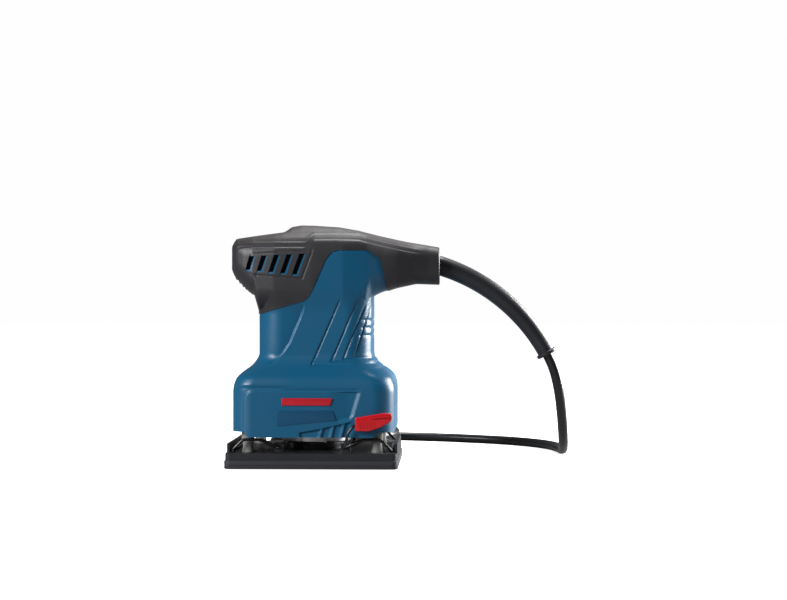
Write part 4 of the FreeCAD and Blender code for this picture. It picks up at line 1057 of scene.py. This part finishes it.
@dataclass
class Platen:
    """The pad, the coated plate over it, the isolator feet and the balance disc."""

    half_x: float = 56.0
    half_y: float = 50.5
    corner: float = 4.0
    # The pad's rim laps a millimetre up over the edge of the plate.
    thick: float = 5.2
    foot_x: float = 42.0
    foot_y: float = 34.5

    def build(self) -> None:
        """Model the pad and feet, and soften the edges of the cast parts."""
        back, draw = edge_arc(0.7)
        height = np.concatenate([back, [2.0, 2.15, 2.35, 2.5], (self.thick - back * 0.4)[::-1]])
        inset = np.concatenate([draw, [0, 0.3, 0.3, 0], (draw * 0.4)[::-1]])
        flat, _ = rounded_rings(self.half_x - inset, self.half_y - inset, self.corner - inset, 8, 20, 20)
        level = np.broadcast_to(height[:, None, None], flat.shape[:2] + (1,))
        fit(loft("pad", np.concatenate([flat, level], -1)), PAD_RUBBER, "platen", "sole_rubber", "sole_pad")
        casting = softened("platen_casting", "platen_plate", 0.45)
        fit(casting, BLACK_POWDER, "platen", "platen_black", "platen_plate")
        disc = softened("balance_disc", "counterweight", 0.4)
        fit(disc, TURNED_STEEL, "rotor", "weight_steel", "counterweight")
        for end, x in (("front", -self.foot_x), ("rear", self.foot_x)):
            for side, y in (("left", -self.foot_y), ("right", self.foot_y)):
                profile = [(3.6, 7.3), (4.1, 7.7), (4.2, 9.0), (3.5, 11.5), (3.2, 14.0), (3.5, 16.5), (4.15, 18.6),
                           (4.2, 20.5), (4.2, 25.6), (3.9, 26.0)]
                fit(turned(f"isolator_{end}_{side}", profile, (x, y)), GREY_RUBBER, "housing", "foot_rubber",
                    f"foot_{end}_{side}")


@dataclass
class Clamp:
    """One paper clamp with its spring. The front one is the rear one turned half round."""

    end: str
    sign: int
    pivot: tuple[float, float] = (21.6, 13.0)
    rod: float = 1.0
    lever_y: float = 50.0
    arm_y: float = 41.5
    lever: Points = field(default_factory=lambda: [
        (28.7, 24.6), (37.5, 24.6), (44.5, 26.8), (51.2, 30.4), (52.5, 33.2), (51.9, 36.0), (47.5, 36.3),
        (28.7, 33.2)])

    def turned_half(self, points: np.ndarray) -> np.ndarray:
        """Turn points half round about the upright axis for the front clamp."""
        return points * np.array([self.sign, self.sign, 1.0])

    def build(self) -> None:
        """Model the four parts of the clamp."""
        body = f"{self.end}_clamp"
        x, z = self.pivot
        rod_path = wire_path([(40.0, -self.lever_y, 27.8), (27.4, -self.lever_y, 27.9), (24.2, -self.lever_y, 23.5),
                              (x, -self.lever_y, z), (x, self.arm_y + 1.2, z)], 2.2)
        fit(wire(f"{self.end}_crank", self.turned_half(rod_path), self.rod), BLACK_WIRE, body, "wire_steel",
            f"{self.end}_lever_rod")
        arm = [(x, z), (33.6, 18.3), (44.5, 18.3), (51.6, 11.12)]
        bail = [(u, -self.arm_y, v) for u, v in arm] + [(u, self.arm_y, v) for u, v in reversed(arm)]
        fit(wire(f"{self.end}_bow", self.turned_half(wire_path(bail, 2.3)), self.rod), BLACK_WIRE, body,
            "wire_steel", f"{self.end}_bail")
        self.build_lever(body)
        self.build_spring()

    def build_lever(self, body: str) -> None:
        """Model the lever: a rounded prism with upright ribs low on its face and a thumb groove above them."""
        flip = np.array([self.sign, 1.0])
        near, far = sorted((-self.sign * (self.lever_y + 2.5), -self.sign * (self.lever_y - 2.5)))
        form = rounded_prism("form_lever", smooth_outline(self.lever, 1.3) * flip, near, far, 0.7)
        groove = rounded_prism("tool_groove",
                               np.array([(38.0, 31.9), (51.6, 32.6), (51.6, 33.7), (43.0, 33.0)]) * flip,
                               *sorted((-self.sign * 51.2, -self.sign * 60)), 0.0)
        steps = [("DIFFERENCE", groove)]
        tools = [form, groove]
        for x in (32.2, 34.4, 36.6, 38.8, 41.0):
            slot = rounded_prism("tool_rib", np.array([(x - 0.35, 26.2), (x + 0.35, 26.2), (x + 0.35, 30.6),
                                                       (x - 0.35, 30.6)]) * flip,
                                 *sorted((-self.sign * 52.1, -self.sign * 60)), 0.0)
            steps.append(("DIFFERENCE", slot))
            tools.append(slot)
        piece = carve(f"{self.end}_thumb_lever", form, steps)
        discard(*tools)
        fit(piece, RED_ACETAL, body, "lever_red", f"{self.end}_lever")

    def build_spring(self) -> None:
        """Model the torsion spring: a helix round the rod, with a leg to the plate and one along the bail."""
        x, z = self.pivot
        turn = np.linspace(0, 5.25 * 2 * math.pi, 120)
        spread = -27.0 + 5.2 * (turn / turn[-1] - 0.5)
        coil = np.stack([x + 1.95 * np.cos(turn), spread, z + 1.95 * np.sin(turn)], -1)
        foot = np.array([[x + 2.4, spread[0] - 0.1, 10.5]])
        hook = np.array([[x + 3.6, spread[-1] + 0.3, z + 3.0], [x + 7.5, spread[-1] + 0.5, z + 3.2]])
        path = self.turned_half(np.concatenate([foot, coil, hook]))
        fit(loft(f"{self.end}_torsion_spring", swept_rings(path, np.full(len(path), 0.42), 10)), BRIGHT_WIRE,
            "platen", "spring_steel", f"{self.end}_clamp_spring")


# ---------------------------------------------------------------- lead

@dataclass
class Lead:
    """The mains lead: boot, free stretch, put-away coil, tie and plug."""

    radius: float = 3.4
    # The lead's corners, the same as the engineering model's.
    free: Points = field(default_factory=lambda: [
        (153.14, 0.0, 74.21), (158.2, 0.0, 65.1), (162.2, 1.8, 48.5), (164.4, 7.5, 30.5), (166.2, 20.0, 15.3),
        (167.4, 37.5, 6.0), (168.0, 57.0, 3.4), (166.0, 82.0, 3.4), (156.0, 106.0, 3.4), (137.0, 127.0, 3.4),
        (110.0, 143.0, 3.5), (79.0, 155.0, 3.7), (45.0, 160.0, 4.1), (14.0, 160.0, 4.3)])
    tail: Points = field(default_factory=lambda: [
        (49.5, 112.0, 10.4), (46.8, 125.8, 12.6), (39.0, 137.5, 16.2), (27.3, 145.3, 19.6), (13.5, 148.0, 21.2),
        (6.0, 148.0, 21.2)])
    coil_centre: tuple[float, float] = (5.0, 112.0)
    turns: float = 6.75
    per_turn: int = 16
    length: float = 1.97
    boot_start: tuple[float, float, float] = (82.4, 0.0, 131.5)
    boot_bend: float = 121.5

    def coil(self) -> np.ndarray:
        """Points of the coil: a flat spiral inwards, a climb, and a second spiral outwards on top."""
        u = np.arange(1, int(self.turns * self.per_turn)) / self.per_turn
        radius = np.interp(u, (0, 3, 3.75, 5.75, 6.75), (48, 27, 30.5, 44.5, 44.5))
        height = np.interp(u, (0, 3, 3.75, 6.75), (4.3, 4.3, 10.36, 10.4))
        turn = math.pi / 2 + 2 * math.pi * u
        return np.stack([self.coil_centre[0] + radius * np.cos(turn),
                         self.coil_centre[1] + radius * np.sin(turn),
                         height], -1)

    def build(self) -> None:
        boot = self.build_boot()
        pieces = [boot, self.build_tie(), *self.build_plug()]
        points = np.concatenate([np.array(self.free), self.coil(), np.array(self.tail)])
        curve = bpy.data.curves.new("mains_lead", "CURVE")
        curve.dimensions = "3D"
        curve.bevel_depth = self.radius * MM
        curve.bevel_resolution = 4
        curve.resolution_u = 6
        curve.use_fill_caps = True
        spline = curve.splines.new("NURBS")
        spline.points.add(len(points) - 1)
        spline.points.foreach_set("co", np.concatenate([points * MM, np.ones((len(points), 1))], 1).ravel())
        spline.order_u = 3
        spline.use_endpoint_u = True
        lead = bpy.data.objects.new("mains_lead", curve)
        bpy.context.scene.collection.objects.link(lead)
        fit(lead, CORD_SHEATH, "housing", "cord_rubber", "cord", "cord_tail", "cord_coil")

    def build_boot(self) -> bpy.types.Object:
        """Model the strain relief: circles on an arc in the middle plane, tapering to a rolled flange."""
        root = np.array([[62.6, 6.0 - 1.6], [74.2, 4.4], [74.4, 6.5], [81.8, 6.5]])
        start = np.array(self.boot_start)
        angle = np.radians(np.linspace(-17.0, -61.0, 40))
        first = angle[0]
        centre = start - np.array([-math.sin(first), 0, math.cos(first)]) * self.boot_bend
        radius = np.linspace(6.5, 5.6, 40)
        lip = np.array([0.0, 0.15, 0.5, 1.3, 2.1, 2.45, 2.6])
        lip_radius = np.array([5.7, 6.5, 6.9, 7.0, 6.9, 6.5, 4.0])
        angle = np.concatenate([angle, angle[-1] + lip / self.boot_bend * -1])
        radius = np.concatenate([radius, lip_radius])
        arc = centre + np.stack([-np.sin(angle), np.zeros_like(angle), np.cos(angle)], -1) * self.boot_bend
        straight = np.stack([root[:, 0], np.zeros(4), np.full(4, start[2])], -1)
        path = np.concatenate([straight, arc])
        rings = swept_rings(path, np.concatenate([root[:, 1], radius]), 32)
        return fit(loft("cord_boot", rings), BOOT_VINYL, "housing", "cord_rubber", "strain_relief")

    def build_tie(self) -> bpy.types.Object:
        """Model the strap round the coil: a rounded loop with a thin rounded section."""
        low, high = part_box("cord_tie")
        middle = (low + high) / (2 * MM)
        half_x, half_y, half_z = (high - low) / (2 * MM)
        back, draw = edge_arc(0.4, 4)
        across = np.concatenate([-half_y + back, (half_y - back)[::-1]])
        outer = np.concatenate([draw, draw[::-1]])
        flat, _ = rounded_rings(half_x - 0.1 - outer, half_z - 0.1 - outer, 4.5 - outer, 8, 10, 4)
        hole, _ = rounded_rings(half_x - 0.9 + outer * 0.5, half_z - 0.85 + outer * 0.5, 3.8 + outer * 0.5,
                                8, 10, 4)
        sheets = []
        for ring in (flat, hole[::-1]):
            level = across if ring is flat else across[::-1]
            sheets.append(np.stack([ring[..., 0] + middle[0], np.broadcast_to(level[:, None] + middle[1],
                          ring.shape[:2]), ring[..., 1] + middle[2]], -1))
        rings = np.concatenate(sheets)
        stations, around = rings.shape[:2]
        index = np.arange(stations * around).reshape(stations, around)
        wrap = np.concatenate([index, index[:1]])
        beside = np.roll(wrap, -1, axis=1)
        quads = np.stack([wrap[:-1], wrap[1:], beside[1:], beside[:-1]], -1).reshape(-1, 4)
        strap = mesh_piece("cord_strap", rings.reshape(-1, 3), quads.tolist())
        return fit(strap, STRAP_WEAVE, "housing", "tie_fabric", "cord_tie")

    def build_plug(self) -> list[bpy.types.Object]:
        """Model the plug: a waisted body with finger ridges, a ringed boot and two round pins.

        Returns:
            The body and the pins.
        """
        x_end, y_mid, z_mid = self.tail[-1]
        x = np.linspace(-33.9, -6.9, 70)
        swell = 1 - 0.09 * np.sin((x + 34) / 27 * math.pi)
        ridge = 0.35 * np.cos(2 * math.pi * x / 2.6) * ease(-24, -21, x) * (1 - ease(-13, -10, x))
        taper = 1 - 0.28 * ease(-16, -6.9, x)
        ends = np.concatenate([edge_arc(1.4, 6)[1], np.zeros(58), edge_arc(1.4, 6)[1][::-1]])
        flat, _ = rounded_rings(11.9 * swell * taper - ends + ridge - 0.35, 7.0 * taper - ends,
                                5.4 * taper - ends * 0.8,
                                8, 10, 6)
        rings = np.stack([np.broadcast_to(x[:, None], flat.shape[:2]), flat[..., 0] + y_mid,
                          flat[..., 1] + z_mid], -1)
        body = loft("form_plug", rings)
        along = np.linspace(-8.5, x_end, 60)
        ring_wave = 0.45 * ease(0, 1, np.cos(2 * math.pi * along / 2.8) * 2)
        sleeve = np.interp(along, (-8.5, x_end), (5.4, 4.3)) - ring_wave
        path = np.stack([along, np.full(60, y_mid), np.full(60, z_mid)], -1)
        boot = loft("form_plug_boot", swept_rings(path, sleeve, 28))
        plug = carve("plug_shell", body, [("UNION", boot)])
        discard(body, boot)
        fit(plug, PLUG_VINYL, "housing", "plug_black", "plug_body")
        rings = []
        for offset in (-9.5, 9.5):
            reach = np.array([-32.0, -43.0, -43.2, -43.3, -52.2, -52.7, -52.95])
            radius = np.array([1.9, 1.9, 1.85, 2.0, 2.0, 1.7, 1.0])
            line = np.stack([reach, np.full(7, y_mid + offset), np.full(7, z_mid)], -1)
            rings.append(loft(f"form_pin_{offset}", swept_rings(line, radius, 24)))
        pins = carve("plug_contacts", rings[0], [("UNION", rings[1])])
        discard(*rings)
        return [plug, fit(pins, PIN_METAL, "housing", "pin_metal", "plug_pins")]


# ---------------------------------------------------------------- engineering solids

INNER_FINISHES = {
    ZINC: ("housing_screws", "foot_screws", "clamp_screws"),
    CAST_ALUMINIUM: ("bearing_plate",),
    BEARING_STEEL: ("lower_bearing", "upper_bearing", "eccentric_bearing", "bearing_circlip"),
    LAMINATION: ("stator_core", "armature_core"),
    WINDING: ("field_coil_front", "field_coil_rear", "armature_windings"),
    BRASS: ("brush_holder_left", "brush_holder_right", "commutator"),
    CARBON: ("carbon_brush_left", "carbon_brush_right"),
    CAPACITOR: ("capacitor",),
    INNER_NYLON: ("switch_body", "cord_clamp"),
    FAN_NYLON: ("fan",),
    TURNED_STEEL: ("rotor_shaft",),
}


def dress_inner_parts() -> None:
    """Give the engineering solids that stay their own finishes."""
    for finish, names in INNER_FINISHES.items():
        for name in names:
            finish.dress(NODES[name])
            LOG.info("dressed %s", name)


# ---------------------------------------------------------------- stage

@dataclass
class Stage:
    """Camera, lamps, backdrop and floor."""

    camera_at: tuple[float, float, float] = (0.0898, -1.0975, 0.1085)
    camera_turn: float = 2.0
    lens: float = 75.0

    def build_camera(self) -> None:
        """Stand the camera in front of the near side, looking level."""
        camera = bpy.data.cameras.new("camera")
        camera.lens = self.lens
        camera.sensor_width = 36.0
        holder = bpy.data.objects.new("camera", camera)
        bpy.context.scene.collection.objects.link(holder)
        holder.location = self.camera_at
        holder.rotation_euler = (math.radians(90), 0, math.radians(self.camera_turn))
        bpy.context.scene.camera = holder

    def lamp(self, name: str, at: tuple[float, float, float], towards: tuple[float, float, float],
             size: float,
             power: float) -> None:
        """Add a square soft lamp.

        Args:
            name: Its name.
            at: Where it hangs, in metres.
            towards: What it points at.
            size: Length of its side.
            power: Its power in watts.
        """
        light = bpy.data.lights.new(name, "AREA")
        light.size = size
        light.energy = power
        holder = bpy.data.objects.new(name, light)
        bpy.context.scene.collection.objects.link(holder)
        holder.location = at
        aim = np.array(towards) - np.array(at)
        flat = math.hypot(aim[0], aim[1])
        holder.rotation_euler = (math.atan2(flat, -aim[2]), 0, math.atan2(aim[1], aim[0]) - math.pi / 2)

    def build(self) -> None:
        """Light the tool softly from the front left and above, with a bright strip behind its right side."""
        self.lamp("key", (-0.95, -0.85, 0.6), (0, 0, 0.08), 0.6, 21.0)
        self.lamp("top", (0.1, 0.3, 1.05), (0, 0, 0.1), 0.4, 8.0)
        self.lamp("rim", (0.7, 0.35, 0.3), (0, 0, 0.07), 0.5, 20.0)
        world = bpy.data.worlds.new("studio")
        world.use_nodes = True
        tree = world.node_tree
        backdrop = tree.nodes["Background"]
        backdrop.inputs[0].default_value = linear_colour("#fefefe")
        # The backdrop is white to look at, and lights the tool at a fraction of that.
        seen = add_node(tree, "ShaderNodeLightPath").outputs["Is Camera Ray"]
        strength = add_node(tree, "ShaderNodeMapRange", {"To Min": 0.12, "To Max": 1.0}, {"Value": seen})
        tree.links.new(strength.outputs[0], backdrop.inputs[1])
        bpy.context.scene.world = world
        bpy.context.scene.view_settings.view_transform = "Standard"
        ring = np.array([[-6, -6], [6, -6], [6, 6], [-6, 6]], float) * 1000
        points = np.concatenate([ring, np.full((4, 1), -0.2)], 1)
        floor = mesh_piece("floor", points, [[0, 1, 2, 3]])
        paper = bpy.data.materials.new("white_studio_paper")
        paper.use_nodes = True
        tree = paper.node_tree
        # To look at, the paper glows more and more with distance, until it is the backdrop's white.
        place = add_node(tree, "ShaderNodeTexCoord").outputs["Object"]
        away = add_node(tree, "ShaderNodeVectorMath", {"operation": "LENGTH"}, {0: place}).outputs["Value"]
        glow = add_node(tree, "ShaderNodeMapRange",
                        {"From Min": 0.15, "From Max": 1.0, "To Min": 0.7, "To Max": 1.0},
                        {"Value": away}).outputs[0]
        seen = add_node(tree, "ShaderNodeLightPath").outputs["Is Camera Ray"]
        strength = add_node(tree, "ShaderNodeMapRange", {"To Min": 0.05},
                            {"Value": seen, "To Max": glow}).outputs[0]
        # It throws little of the lamps' light back up at the tool, as the dark floor of a studio does.
        shade = add_node(tree, "ShaderNodeMapRange", {"To Min": 0.12, "To Max": 0.9},
                         {"Value": seen}).outputs[0]
        shader = tree.nodes["Principled BSDF"]
        shader.inputs["Roughness"].default_value = 0.9
        shader.inputs["Emission Color"].default_value = (1.0, 1.0, 1.0, 1.0)
        tree.links.new(shade, shader.inputs["Base Color"])
        tree.links.new(strength, shader.inputs["Emission Strength"])
        floor.data.materials.append(paper)


def main() -> None:
    """Build the camera and the lead first, then the tool, then the light."""
    logging.basicConfig(level=logging.INFO, format="%(name)s: %(message)s")
    stage = Stage()
    stage.build_camera()
    Lead().build()
    Housing().build()
    Badges().build()
    Rocker().build()
    Platen().build()
    Clamp("rear", 1).build()
    Clamp("front", -1).build()
    dress_inner_parts()
    stage.build()


if __name__ == "__main__":
    main()
